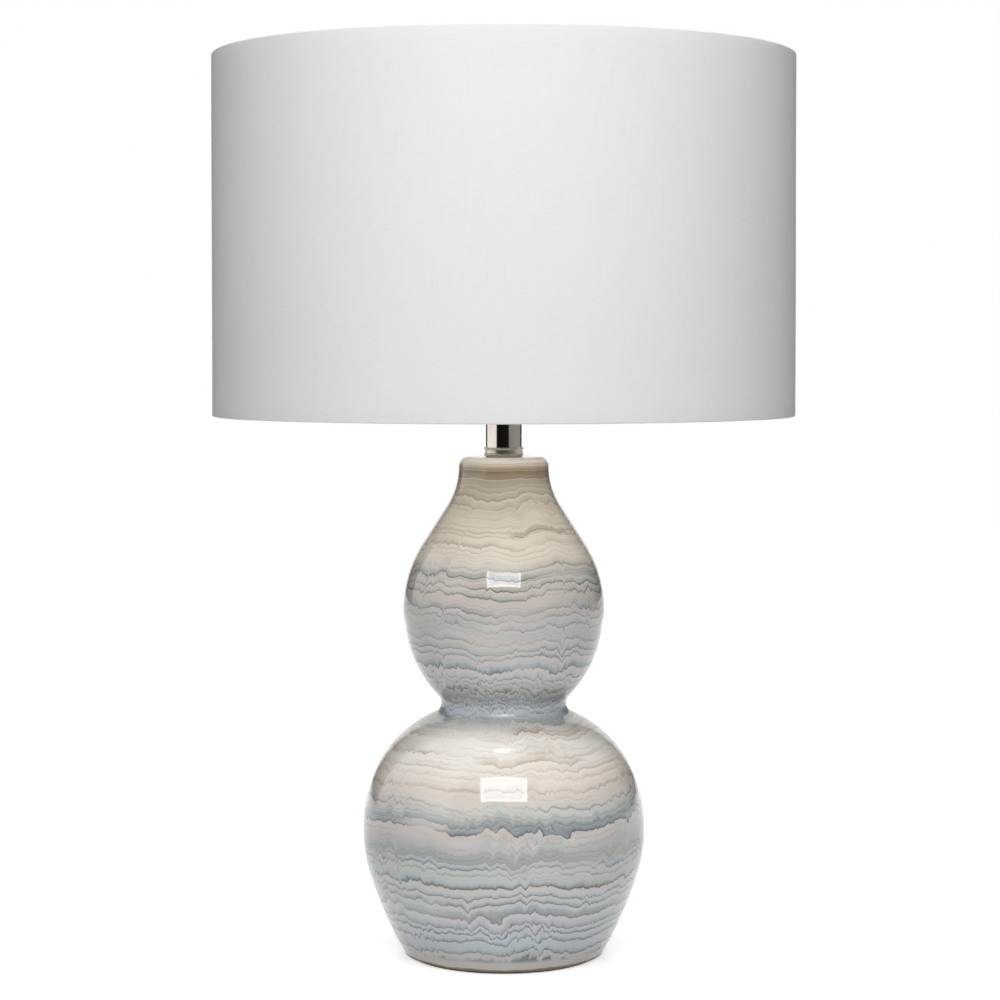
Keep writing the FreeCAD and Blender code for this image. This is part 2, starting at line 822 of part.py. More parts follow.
def neck_ring():
    """The turned ring that the neck stands in: two beads with a hollow between, and a spigot."""

    def section(sketch):
        bore = S.pipe_radius + S.bolt_clearance
        spigot = S.neck_radius - S.neck_wall - 0.1
        bead = S.ring_bead
        rounding = bead / 2.0
        flat = S.ring_radius - rounding
        return (
            Outline(sketch, bore, 0)
            .line(flat, 0)
            .arc(flat, bead, rounding, 1)
            .line(S.ring_waist, bead)
            .line(S.ring_waist, S.ring_height - bead)
            .line(flat, S.ring_height - bead)
            .arc(flat, S.ring_height, rounding, 1)
            .line(spigot, S.ring_height)
            .line(spigot, S.ring_height + S.spigot_height)
            .line(bore, S.ring_height + S.spigot_height)
            .close()
        )

    return turned("neck_ring", NECK_RING_FOOT, section)


def neck_tube():
    """The polished tube between the gourd and the harp."""
    return turned(
        "neck_tube",
        NECK_FOOT,
        lambda sketch: tube_section(
            sketch, S.neck_radius - S.neck_wall, S.neck_radius, S.neck_length
        ),
    )


def neck_cap():
    """The lid of the neck, with a spigot down into the tube."""

    def section(sketch):
        bore = S.pipe_radius + S.bolt_clearance
        spigot = S.neck_radius - S.neck_wall - 0.1
        top = S.neck_cap_thickness
        rounding = top / 2.0
        flat = S.neck_cap_radius - rounding
        return (
            Outline(sketch, bore, -S.spigot_height)
            .line(spigot, -S.spigot_height)
            .line(spigot, 0)
            .line(flat, 0)
            .arc(flat, top, rounding, 1)
            .line(bore, top)
            .close()
        )

    return turned("neck_cap", NECK_CAP_FOOT, section)


# ---- harp --------------------------------------------------------------------------------------


def harp_saddle():
    """The bent strip under the socket, with a pin at each end that the harp slips over."""
    body = new_body("harp_saddle", SADDLE_SEAT)
    thick, rise, bend = S.saddle_thickness, S.saddle_rise, S.saddle_bend
    outer = S.pin_reach + thick / 2.0
    inner = outer - thick
    side = new_sketch(body, "saddle_side")
    (
        Outline(side, 0, 0)
        .line(outer - bend, 0)
        .arc(outer, bend, bend, 1)
        .line(outer, rise + 1.0)
        .line(inner, rise + 1.0)
        .line(inner, bend)
        .arc(inner - bend + thick, thick, bend - thick, -1)
        .line(0, thick)
        .close()
    )
    strip = pad(body, side, S.saddle_width, midplane=True)
    taper = new_sketch(body, "saddle_taper", "YZ_Plane")
    half, slim = S.saddle_width / 2.0, S.saddle_neck_width / 2.0
    (
        Outline(taper, half + 1.0, thick * 2.0)
        .line(half + 1.0, rise + 2.0)
        .line(slim, rise + 2.0)
        .line(slim, rise)
        .line(half, thick * 2.0)
        .close()
    )
    narrow = pocket(body, taper, S.pin_reach * 3.0, midplane=True)
    mirror(body, [narrow], "XZ_Plane")
    pin = new_sketch(body, "saddle_pin", "XY_Plane", rise)
    circle(pin, S.pin_radius, S.pin_reach, 0)
    post = pad(body, pin, S.pin_top - rise)
    mirror(body, [strip, post], "YZ_Plane")
    bore = new_sketch(body, "saddle_bore", "XY_Plane")
    circle(bore, S.pipe_radius + S.bolt_clearance)
    pocket(body, bore, thick, backwards=True)
    round_edges(body, Size.of(0.9), circle_edge(S.pin_radius, S.pin_top))
    return body


def harp_path(sketch):
    """The centre line of half the harp: leg, outward bend, side, corner and top, up from the leg."""
    leg_across = S.pin_reach + S.wire_offset
    leg_foot = SADDLE_SEAT + S.wire_start
    leg_top = SADDLE_SEAT + S.leg_top
    bend_centre = point(leg_across + S.leg_bend, leg_top)
    side_across = S.harp_half_width - S.side_arc
    reach = S.leg_bend.value + S.side_arc.value
    apart = bend_centre.x - side_across.value
    side_centre = Vector(side_across.value, leg_top.value + math.sqrt(reach**2 - apart**2), 0)
    corner_up = HARP_TOP - S.corner_arc
    gap = S.side_arc.value - S.corner_arc.value
    rise = corner_up.value - side_centre.y
    corner_centre = Vector(side_across.value + math.sqrt(gap**2 - rise**2), corner_up.value, 0)
    bend_end = bend_centre + (side_centre - bend_centre) * (S.leg_bend.value / reach)
    side_end = side_centre + (corner_centre - side_centre) * (S.side_arc.value / gap)
    corner_top = corner_centre + Vector(0, S.corner_arc.value, 0)
    leg = [point(leg_across, leg_foot), point(leg_across, leg_top)]
    parts = [
        (sketch.addGeometry(Part.LineSegment(*leg), False), 1, 2),
        (arc_between(sketch, bend_centre, S.leg_bend.value, bend_end, leg[1]), 2, 1),
        (arc_between(sketch, side_centre, S.side_arc.value, bend_end, side_end), 1, 2),
        (arc_between(sketch, corner_centre, S.corner_arc.value, side_end, corner_top), 1, 2),
        (sketch.addGeometry(Part.LineSegment(corner_top, point(0, HARP_TOP)), False), 1, 2),
    ]
    for (before, _, tail), (after, head, _) in zip(parts, parts[1:]):
        sketch.addConstraint(Sketcher.Constraint("Tangent", before, tail, after, head))
    place(sketch, parts[0][0], 1, leg_across, leg_foot)
    place(sketch, parts[0][0], 2, leg_across, leg_top)
    for index, radius in ((1, S.leg_bend), (2, S.side_arc), (3, S.corner_arc)):
        hold(sketch, "Radius", parts[index][0], radius)
    place(sketch, parts[2][0], 3, side_across, None)
    place(sketch, parts[4][0], 2, 0, HARP_TOP)
    sketch.addConstraint(Sketcher.Constraint("Horizontal", parts[4][0]))
    return sketch


def harp_loop():
    """The wire loop that carries the shade, with a cupped foot on each leg and an eye at the top."""
    body = new_body("harp_loop")
    spine = harp_path(new_sketch(body, "harp_line"))
    foot_height = SADDLE_SEAT + S.wire_start
    section = new_sketch(body, "harp_wire", "XY_Plane", foot_height)
    circle(section, S.wire_radius, S.pin_reach + S.wire_offset, 0)
    DOC.recompute()
    wire = body.newObject("PartDesign::AdditivePipe", "harp_half")
    wire.Profile = section
    wire.Spine = (spine, [f"Edge{n}" for n in range(1, len(spine.Shape.Edges) + 1)])
    cup = new_sketch(body, "harp_cup", "XY_Plane", SADDLE_SEAT + S.sleeve_foot)
    (
        Outline(cup, S.pin_reach, -S.sleeve_outer)
        .arc(S.pin_reach, S.sleeve_outer, S.sleeve_outer, 1)
        .line(S.pin_reach, S.sleeve_inner)
        .arc(S.pin_reach, -S.sleeve_inner, S.sleeve_inner, -1)
        .close()
    )
    foot = pad(body, cup, S.sleeve_top - S.sleeve_foot)
    mirror(body, [wire, foot])
    eye = new_sketch(body, "harp_eye", "XY_Plane", HARP_TOP - S.wire_radius)
    circle(eye, S.eye_radius)
    pad(body, eye, S.wire_radius * 2.0)
    hole = new_sketch(body, "eye_hole", "XY_Plane", HARP_TOP - S.wire_radius)
    circle(hole, S.stud_shank + S.stud_play)
    pocket(body, hole, S.wire_radius * 2.0, backwards=True)
    return body


def harp_ferrule(label, side):
    """A sleeve that drops over one leg of the harp and its pin to lock them."""

    def section(sketch):
        length, groove_depth = S.ferrule_length, S.ferrule_groove
        slim = S.ferrule_radius - groove_depth
        return (
            Outline(sketch, S.ferrule_bore, 0)
            .line(S.ferrule_radius, 0)
            .line(S.ferrule_radius, length * 0.3)
            .line(slim, length * 0.36)
            .line(slim, length * 0.64)
            .line(S.ferrule_radius, length * 0.7)
            .line(S.ferrule_radius, length - 0.8)
            .line(S.ferrule_radius - 0.8, length)
            .line(S.ferrule_bore, length)
            .close()
        )

    body = turned(label, SADDLE_SEAT + S.ferrule_foot, section)
    bind(body, "Placement.Base.x", S.pin_reach * side)
    return body


def harp_stud():
    """The stud riveted through the harp's eye: rivet head, shank, collar and threaded post."""

    def section(sketch):
        rivet_foot = -S.rivet_thickness - S.stud_play
        eye_top = S.wire_radius * 2.0 + S.stud_play
        seat = eye_top + S.collar_thickness
        tip = seat + S.stud_length
        return (
            Outline(sketch, 0, rivet_foot)
            .line(S.rivet_radius - 0.8, rivet_foot)
            .line(S.rivet_radius, rivet_foot + 0.8)
            .line(S.rivet_radius, -S.stud_play)
            .line(S.stud_shank, -S.stud_play)
            .line(S.stud_shank, eye_top)
            .line(S.collar_radius, eye_top)
            .line(S.collar_radius, seat - 0.6)
            .line(S.collar_radius - 0.6, seat)
            .line(S.stud_radius, seat)
            .line(S.stud_radius, tip - 0.7)
            .line(S.stud_radius - 0.7, tip)
            .line(0, tip)
            .close()
        )

    return turned("harp_stud", HARP_TOP - S.wire_radius, section)


# ---- socket and switch -------------------------------------------------------------------------


def socket_cap():
    """The socket's lower cup: a hub for the pipe, a dome and a skirt round the shell."""

    def section(sketch):
        wall = S.cap_wall
        dome = S.cap_dome_top - S.hub_height + 1.0
        dome_foot = S.cap_dome_top - dome
        return (
            Outline(sketch, S.pipe_radius + S.bolt_clearance / 2.0, 0)
            .line(S.hub_radius, 0)
            .line(S.hub_radius, dome_foot)
            .line(S.cap_radius - dome, dome_foot)
            .arc(S.cap_radius, S.cap_dome_top, dome, 1)
            .line(S.cap_radius, S.cap_height)
            .line(S.cap_radius - wall, S.cap_height)
            .line(S.cap_radius - wall, S.cap_dome_top)
            .arc(S.cap_radius - dome, dome_foot + wall, dome - wall, -1)
            .line(S.pipe_radius + S.bolt_clearance / 2.0, dome_foot + wall)
            .close()
        )

    body = turned("socket_cap", SOCKET_FOOT, section)
    hole = new_sketch(body, "set_screw_hole", "YZ_Plane", S.pipe_radius)
    circle(hole, S.set_screw_radius, 0, S.hub_height / 2.0 - 0.4)
    pocket(body, hole, S.hub_radius, backwards=True)
    return body


def cap_set_screw():
    """The slotted screw in the hub that stops the socket turning on the pipe."""
    body = new_body("cap_set_screw", SOCKET_FOOT + S.hub_height / 2.0 - 0.4)
    start = S.pipe_radius + 0.15
    length = S.hub_radius + 0.9 - start
    disc = new_sketch(body, "set_screw", "YZ_Plane", start)
    circle(disc, S.set_screw_radius - 0.05)
    pad(body, disc, length)
    slot = new_sketch(body, "set_screw_slot", "YZ_Plane", start + length)
    half, reach = S.screw_slot / 2.0, S.set_screw_radius + 0.5
    Outline(slot, -half, -reach).line(half, -reach).line(half, reach).line(-half, reach).close()
    pocket(body, slot, S.screw_slot)
    return body


def shaft_slot(body, name, foot, clearance):
    """Cuts the slot for the switch bushing up from the lower edge of a shell."""
    slot = new_sketch(body, name)
    half = S.bushing_radius + clearance
    top = S.switch_height
    (
        Outline(slot, -half, foot)
        .line(half, foot)
        .line(half, top)
        .arc(-half, top, half, 1)
        .close()
    )
    pocket(body, slot, S.cap_radius * 2.0, backwards=True)


def socket_shell():
    """The thin outer shell of the socket, with a rolled lip and a slot for the switch."""

    def section(sketch):
        outer, wall, lip = S.shell_radius, S.shell_wall, S.shell_lip
        return (
            Outline(sketch, outer - wall, S.shell_foot)
            .line(outer, S.shell_foot)
            .line(outer, S.shell_top - lip * 2.0)
            .arc(outer, S.shell_top, lip, 1)
            .line(outer - wall, S.shell_top)
            .close()
        )

    body = turned("socket_shell", SOCKET_FOOT, section)
    shaft_slot(body, "shell_slot", S.shell_foot - 1.0, 0.3)
    return body


def socket_liner():
    """The paper sleeve that insulates the shell."""
    outer = S.shell_radius - S.shell_wall - S.layer_gap
    length = S.shell_top - S.shell_foot - 1.0

    def section(sketch):
        foot, top = S.shell_foot + 0.4, S.shell_foot + length
        inner = outer - S.paper_wall
        return Outline(sketch, inner, foot).line(outer, foot).line(outer, top).line(inner, top).close()

    body = turned("socket_liner", SOCKET_FOOT, section)
    shaft_slot(body, "liner_slot", S.shell_foot - 1.0, 0.5)
    return body


def socket_core():
    """The moulded block that holds the switch and the terminals."""
    body = new_body("socket_core", SOCKET_FOOT)
    disc = circle(new_sketch(body, "core_disc", "XY_Plane", S.core_foot), S.core_radius)
    pad(body, disc, S.core_top - S.core_foot)
    flat = new_sketch(body, "core_flat", "XY_Plane", S.core_foot)
    far = S.core_radius + 1.0
    Outline(flat, S.core_flat, -far).line(far, -far).line(far, far).line(S.core_flat, far).close()
    side = pocket(body, flat, S.core_top - S.core_foot - 3.0, backwards=True)
    mirror(body, [side])
    seat = new_sketch(body, "bushing_seat", "XZ_Plane", S.shaft_start - 0.3)
    circle(seat, S.bushing_radius + 0.05, 0, S.switch_height)
    pocket(body, seat, S.core_radius, backwards=True)
    for name, side_sign in (("left_screw_hole", -1.0), ("right_screw_hole", 1.0)):
        hole = new_sketch(body, name, "YZ_Plane", (S.core_flat - 5.0) * side_sign)
        circle(hole, S.screw_shank + 0.05, 0, S.core_foot + 6.0)
        pocket(body, hole, S.core_radius, backwards=side_sign > 0)
    return body


def screw_shell():
    """The metal cup that the bulb screws into, open in its floor for the contact."""

    def section(sketch):
        bore, wall = S.thread_bore, S.thread_wall
        return (
            Outline(sketch, S.contact_hole, S.core_top)
            .line(bore + wall, S.core_top)
            .line(bore + wall, S.thread_top)
            .line(bore, S.thread_top)
            .line(bore, S.core_top + wall)
            .line(S.contact_hole, S.core_top + wall)
            .close()
        )

    return turned("screw_shell", SOCKET_FOOT, section)


def centre_contact():
    """The sprung tongue that touches the foot of the bulb."""
    body = new_body("centre_contact", SOCKET_FOOT + S.core_top)
    side = new_sketch(body, "contact_side")
    thick, rise = S.contact_thickness, S.contact_rise
    (
        Outline(side, -3.6, 0)
        .line(0.4, 0)
        .line(3.4, rise - thick)
        .line(3.4, rise)
        .line(0.2, thick)
        .line(-3.6, thick)
        .close()
    )
    pad(body, side, S.contact_width, midplane=True)
    return body


def terminal_screws():
    """The two brass screws that hold the wires on the flats of the core."""
    screws = []
    for name, side in (("left_terminal", -1.0), ("right_terminal", 1.0)):
        seat = (S.core_flat + 0.05) * side
        shank = Part.makeCylinder(
            S.screw_shank.value, 4.5, point(0, 0), Vector(-side, 0, 0)
        )
        head = Part.makeCylinder(
            S.screw_head.value, S.screw_head_thickness.value, point(0, 0), Vector(side, 0, 0)
        )
        slot = Part.makeBox(S.screw_slot.value, 10.0, S.screw_slot.value)
        slot.translate(Vector(-S.screw_slot.value / 2, -5.0, -S.screw_slot.value / 2))
        slot.translate(Vector(side * S.screw_head_thickness.value, 0, 0))
        screw = shank.fuse(head).removeSplitter().cut(slot)
        height = SOCKET_FOOT + S.core_foot + 6.0
        screw.translate(Vector(seat.value, 0, height.value))
        screws.append(screw)
    pair = DOC.addObject("Part::Feature", "terminal_screws")
    pair.Label = "terminal_screws"
    pair.Shape = Part.makeCompound(screws)
    return pair


FORWARDS = Rotation(Vector(1, 0, 0), 90.0)
SWITCH_AXIS = SOCKET_FOOT + S.switch_height


def switch_bushing():
    """The brass tube that the switch shaft turns in."""
    body = turned(
        "switch_bushing",
        None,
        lambda sketch: Outline(sketch, S.shaft_radius + S.shaft_play, S.shaft_start)
        .line(S.bushing_radius, S.shaft_start)
        .line(S.bushing_radius, S.bushing_end)
        .line(S.shaft_radius + S.shaft_play, S.bushing_end)
        .close(),
    )
    body.Placement = Placement(Vector(), FORWARDS)
    bind(body, "Placement.Base.z", SWITCH_AXIS)
    return body


def switch_shaft():
    """The rod between the switch and its knob."""
    end = S.knob_start + S.knob_length * 0.75

    def section(sketch):
        start = S.shaft_start + 0.2
        radius = S.shaft_radius
        return Outline(sketch, 0, start).line(radius, start).line(radius, end).line(0, end).close()

    body = turned("switch_shaft", None, section)
    body.Placement = Placement(Vector(), FORWARDS)
    bind(body, "Placement.Base.z", SWITCH_AXIS)
    return body


def switch_knob():
    """The fluted knob that turns the lamp on and off."""
    start, end = S.knob_start, S.knob_start + S.knob_length
    bore_end = S.knob_start + S.knob_length * 0.75 + 0.2

    def section(sketch):
        bore = S.shaft_radius + 0.05
        crown = S.knob_tip_radius - 1.0
        return (
            Outline(sketch, bore, start)
            .line(S.knob_radius - 0.8, start)
            .line(S.knob_radius, start + 0.8)
            .line(S.knob_tip_radius, end - 1.2)
            .line(crown, end - 0.2)
            .arc(0, end + 0.7, dome_radius(crown, Size.of(0.9)), 1)
            .line(0, bore_end)
            .line(bore, bore_end)
            .close()
        )

    body = turned("switch_knob", None, section)
    half_pitch = FULL_TURN / SIZES["knob_flutes"] / 2.0
    flute = new_sketch(body, "knob_flute", "XY_Plane")
    flute.AttachmentOffset = Placement(Vector(), Rotation(Vector(0, 0, 1), half_pitch))
    bind(flute, "AttachmentOffset.Base.z", start + 2.2)
    circle(flute, S.knob_flute, S.knob_radius + 0.1, 0)
    cut = pocket(body, flute, S.knob_length, backwards=True)
    repeat_round(body, cut, int(SIZES["knob_flutes"]))
    body.Placement = Placement(Vector(), FORWARDS)
    bind(body, "Placement.Base.z", SWITCH_AXIS)
    return body


# ---- bulb --------------------------------------------------------------------------------------


def globe_chain(inset):
    """The globe's arcs for a glass surface inset by the wall: joint, hollow radius and globe radius."""
    globe = S.globe_radius.value - inset
    rise = S.globe_cheek.value - S.globe_height.value
    across = math.sqrt(S.globe_radius.value**2 - rise**2)
    share = globe / S.globe_radius.value
    return across * share, S.globe_height.value + rise * share


def bulb_glass():
    """The bulb's hollow glass, from its neck to the globe."""

    def section(sketch):
        wall = S.glass_wall
        outer_across, outer_up = globe_chain(0.0)
        inner_across, inner_up = globe_chain(wall.value)
        foot, neck, globe = S.glass_foot, S.glass_neck_radius, S.globe_radius
        slope = Size.of(60.0)
        return (
            Outline(sketch, neck - wall, foot)
            .line(neck, foot)
            .line(neck, foot + 6.0)
            .arc(outer_across, outer_up, slope, -1)
            .arc(0, S.globe_height + globe, globe, 1)
            .line(0, S.globe_height + globe - wall)
            .arc(inner_across, inner_up, globe - wall, -1)
            .arc(neck - wall, foot + 6.0, slope + wall, 1)
            .close()
        )

    return turned("bulb_glass", BULB_FOOT, section)


def bulb_cap():
    """The bulb's screw cap, from the insulator to the glass."""

    def section(sketch):
        outer, wall = S.screw_cap_radius, S.screw_cap_wall
        foot, top = S.insulator_top, S.screw_cap_top
        neck = S.glass_neck_radius + 0.1
        return (
            Outline(sketch, S.insulator_radius - wall, foot)
            .line(S.insulator_radius, foot)
            .line(outer, foot + 3.0)
            .line(outer, top - 3.0)
            .line(outer + 0.25, top)
            .line(neck, top)
            .line(neck, S.glass_foot - 0.4)
            .line(outer - wall, S.glass_foot - 0.8)
            .line(outer - wall, foot + 3.0 + wall)
            .close()
        )

    return turned("bulb_cap", BULB_FOOT, section)


def bulb_insulator():
    """The black glass plug in the foot of the cap."""

    def section(sketch):
        foot, top = S.button_height, S.insulator_top
        radius = S.insulator_radius - S.screw_cap_wall - 0.05
        return (
            Outline(sketch, 0, foot)
            .line(S.contact_button, foot)
            .line(radius, top - 0.4)
            .line(radius, top + 1.2)
            .line(0, top + 1.2)
            .close()
        )

    return turned("bulb_insulator", BULB_FOOT, section)


def bulb_contact():
    """The solder button at the very foot of the bulb."""

    def section(sketch):
        reach, top = S.contact_button, S.button_height
        return Outline(sketch, 0, 0).arc(reach, top, dome_radius(reach, top), 1).line(0, top).close()

    return turned("bulb_contact", BULB_FOOT, section)


# ---- shade -------------------------------------------------------------------------------------


def shade_fabric():
    """The linen cover: a drum rolled inwards over a wire at each end, with a lapped seam behind."""

    def section(sketch):
        outer, cloth, roll = S.shade_radius, S.linen_thickness, S.hem_roll
        inner = outer - cloth
        tight = roll - cloth
        fold = outer - roll * 2.0
        height, tuck = S.shade_height, S.hem_tuck
        return (
            Outline(sketch, outer, roll)
            .line(outer, height - roll)
            .arc(outer - roll, height, roll, 1)
            .arc(fold, height - roll, roll, 1)
            .line(fold, height - roll - tuck)
            .line(fold + cloth, height - roll - tuck)
            .line(fold + cloth, height - roll)
            .arc(outer - roll, height - cloth, tight, -1)
            .arc(inner, height - roll, tight, -1)
            .line(inner, roll)
            .arc(outer - roll, cloth, tight, -1)
            .arc(fold + cloth, roll, tight, -1)
            .line(fold + cloth, roll + tuck)
            .line(fold, roll + tuck)
            .line(fold, roll)
            .arc(outer - roll, 0, roll, 1)
            .arc(outer, roll, roll, 1)
            .sketch
        )

    body = turned("shade_fabric", S.shade_foot, section)
    notch = new_sketch(body, "arm_notch", "YZ_Plane")
    wide = S.arm_notch
    top = S.shade_height - S.linen_thickness - S.ring_clearance
    low = S.shade_height - S.hem_roll - S.hem_tuck - 1.0
    Outline(notch, -wide, low).line(wide, low).line(wide, top).line(-wide, top).close()
    bind(notch, "AttachmentOffset.Base.z", S.shade_radius - S.hem_roll * 2.5)
    cut = pocket(body, notch, S.hem_roll, backwards=True)
    repeat_round(body, cut, ARM_COUNT)
    lap = new_sketch(body, "seam_lap", "XY_Plane")
    lap.AttachmentOffset = Placement(Vector(), Rotation(Vector(0, 0, 1), S.lap_turn.value))
    bind(lap, "AttachmentOffset.Base.z", S.hem_roll)
    bind(lap, "AttachmentOffset.Rotation.Angle", S.lap_turn)
    inner, outer, half = S.shade_radius - 0.2, S.shade_radius + S.lap_thickness, S.lap_half_width
    side_in, side_out = (
        Size(f"sqrt({r.text}^2 - {half.text}^2)", math.sqrt(r.value**2 - half.value**2))
        for r in (inner, outer)
    )
    (
        Outline(lap, half, side_in)
        .line(half, side_out)
        .arc(-half, side_out, outer, 1)
        .line(-half, side_in)
        .arc(half, side_in, inner, -1)
    )
    pad(body, lap, S.shade_height - S.hem_roll * 2.0)
    body.Placement = Placement(body.Placement.Base, Rotation(Vector(0, 0, 1), 90.0))
    return body


def shade_liner():
    """The stiff white drum that the linen is glued to."""
    outer = S.shade_radius - S.linen_thickness - S.layer_gap
    gap = S.linen_thickness + S.ring_clearance
    length = S.shade_height - (gap + S.hem_roll) * 2.0
    return turned(
        "shade_liner",
        S.shade_foot + gap + S.hem_roll,
        lambda sketch: tube_section(sketch, outer - S.liner_thickness, outer, length),
    )


def shade_ring(label, height):
    """A wire ring inside the rolled edge of the shade."""

    def section(sketch):
        return circle(sketch, S.ring_wire, S.shade_radius - S.hem_roll, 0)

    return turned(label, height, section)


def shade_spider():
    """The washer on the harp with three cranked arms out to the upper ring."""
    body = new_body("shade_spider", WASHER_FOOT)
    washer = new_sketch(body, "spider_washer", "XY_Plane")
    circle(washer, S.washer_radius)
    pad(body, washer, S.washer_thickness)
    start = S.washer_radius - 3.0
    low = S.washer_thickness + S.arm_wire - 0.4
    high = S.arm_drop + S.washer_thickness - S.linen_thickness - S.ring_wire - S.ring_clearance
    end = S.shade_radius - S.hem_roll - S.ring_wire - S.weld_gap
    crank_top = end - S.arm_shelf
    crank_foot = crank_top - S.arm_slope
    spine = new_sketch(body, "arm_line")
    cranked_line(spine, [(start, low), (crank_foot, low), (crank_top, high), (end, high)], S.arm_bend)
    section = new_sketch(body, "arm_section", "YZ_Plane", start)
    circle(section, S.arm_wire, 0, low)
    DOC.recompute()
    arm = body.newObject("PartDesign::AdditivePipe", "spider_arm")
    arm.Profile = section
    arm.Spine = (spine, [f"Edge{n}" for n in range(1, len(spine.Shape.Edges) + 1)])
    repeat_round(body, arm, ARM_COUNT)
    hole = new_sketch(body, "spider_hole", "XY_Plane")
    circle(hole, S.washer_hole)
    pocket(body, hole, S.washer_thickness * 4.0, backwards=True)
    body.Placement = Placement(body.Placement.Base, Rotation(Vector(0, 0, 1), 90.0))
    return body


def cranked_line(sketch, corners, bend):
    """Straight runs through corners, each inner corner rounded with the same bend."""
    points = [point(across, up) for across, up in corners]
    runs = []
    arcs = []
    starts = [points[0]]
    ends = []
    for before, corner, after in zip(points, points[1:], points[2:]):
        back = (before - corner).normalize()
        forth = (after - corner).normalize()
        half = math.acos(max(-1.0, min(1.0, back.dot(forth)))) / 2
        trim = bend.value / math.tan(half)
        middle = (back + forth).normalize() * (bend.value / math.sin(half))
        ends.append(corner + back * trim)
        starts.append(corner + forth * trim)
        arcs.append((corner + middle, ends[-1], starts[-1], back.cross(forth).z > 0))
    ends.append(points[-1])
    for start, end in zip(starts, ends):
        runs.append(sketch.addGeometry(Part.LineSegment(start, end), False))
    for index, (centre, start, end, clockwise) in enumerate(arcs):
        first, last = (end, start) if clockwise else (start, end)
        arc = arc_between(sketch, centre, bend.value, first, last)
        head, tail = (2, 1) if clockwise else (1, 2)
        sketch.addConstraint(Sketcher.Constraint("Tangent", runs[index], 2, arc, head))
        sketch.addConstraint(Sketcher.Constraint("Tangent", arc, tail, runs[index + 1], 1))
        hold(sketch, "Radius", arc, bend)
    place(sketch, runs[0], 1, *corners[0])
    place(sketch, runs[-1], 2, *corners[-1])
    sketch.addConstraint(Sketcher.Constraint("Horizontal", runs[0]))
    sketch.addConstraint(Sketcher.Constraint("Horizontal", runs[-1]))
    for run, (across, up), pull in ((runs[1], corners[1], -1.0), (runs[1], corners[2], 1.0)):
        mark = sketch.addGeometry(Part.Point(point(across, up)), True)
        place(sketch, mark, 1, across, up)
        sketch.addConstraint(Sketcher.Constraint("PointOnObject", mark, 1, run))
    return sketch


def finial():
    """The turned knob that screws onto the stud and holds the shade down."""

    def section(sketch):
        ball, centre = S.finial_ball, S.finial_ball_height
        drop = Size(
            f"sqrt({ball.text}^2 - {S.finial_stem.text}^2)",
            math.sqrt(ball.value**2 - S.finial_stem.value**2),
        )
        bead = S.finial_bead_height
        return (
            Outline(sketch, S.finial_bore, 0)
            .line(S.finial_base - 0.5, 0)
            .line(S.finial_base, 0.5)
            .line(S.finial_base, S.finial_base_height)
            .arc(S.finial_waist, S.finial_waist_height, Size.of(6.0), -1)
            .line(S.finial_waist, bead - 1.5)
            .arc(S.finial_waist, bead + 0.3, Size.of(1.4), 1)
            .line(S.finial_stem, centre - drop)
            .arc(0, centre + ball, ball, 1)
            .line(0, S.finial_bore_depth)
            .line(S.finial_bore, S.finial_bore_depth)
            .close()
        )

    return turned("finial", WASHER_TOP, section)


# ---- the lamp ----------------------------------------------------------------------------------


def build():
    """Every sub-part of the lamp, from the table up."""
    ring_drop = S.linen_thickness + S.ring_wire + S.ring_clearance
    return [
        felt_pad(),
        gourd_body(),
        cord_grommet(),
        threaded_pipe(),
        bottom_washer(),
        lock_washer(),
        bottom_nut(),
        neck_gasket(),
        neck_ring(),
        neck_tube(),
        neck_cap(),
        harp_saddle(),
        harp_loop(),
        harp_ferrule("left_ferrule", -1.0),
        harp_ferrule("right_ferrule", 1.0),
        harp_stud(),
        socket_cap(),
        cap_set_screw(),
        socket_shell(),
        socket_liner(),
        socket_core(),
        screw_shell(),
        centre_contact(),
        terminal_screws(),
        switch_bushing(),
        switch_shaft(),
        switch_knob(),
        bulb_glass(),
        bulb_cap(),
        bulb_insulator(),
        bulb_contact(),
        shade_fabric(),
        shade_liner(),
        shade_ring("shade_top_ring", SHADE_TOP - ring_drop),
        shade_ring("shade_bottom_ring", S.shade_foot + ring_drop),
        shade_spider(),
        finial(),
    ]


def check(parts):
    """Stops if any feature failed or any sub-part has no sound solid."""
    for thing in DOC.Objects:
        if {"Invalid", "Error"} & set(thing.State):
            raise RuntimeError(f"{thing.Name} is {thing.State}")
    for part in parts:
        shape = part.Shape
        if shape.isNull() or not shape.isValid() or not shape.Solids:
            raise RuntimeError(f"{part.Label} has no sound solid")
        print(f"{part.Label:18s} {len(shape.Solids)} solid, {shape.Volume:12.1f} mm3")


def main():
    """Builds the lamp and writes one file for each sub-part."""
    parts = build()
    DOC.recompute()
    check(parts)
    os.makedirs("parts", exist_ok=True)
    for part in parts:
        part.Shape.exportStep(os.path.join("parts", part.Label + ".step"))


main()
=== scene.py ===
"""Dresses the double gourd table lamp: glaze, nickel, linen, glass, and a soft white studio.

Lengths are in metres. Each sub-assembly is a class that holds its sizes, builds its meshes and dresses
them, and each finish is a frozen dataclass that draws its own material.
"""

from dataclasses import astuple, dataclass
from enum import Enum
import json
import logging
import math
from typing import Mapping, Sequence, Union

import bpy
from mathutils import Matrix, Vector

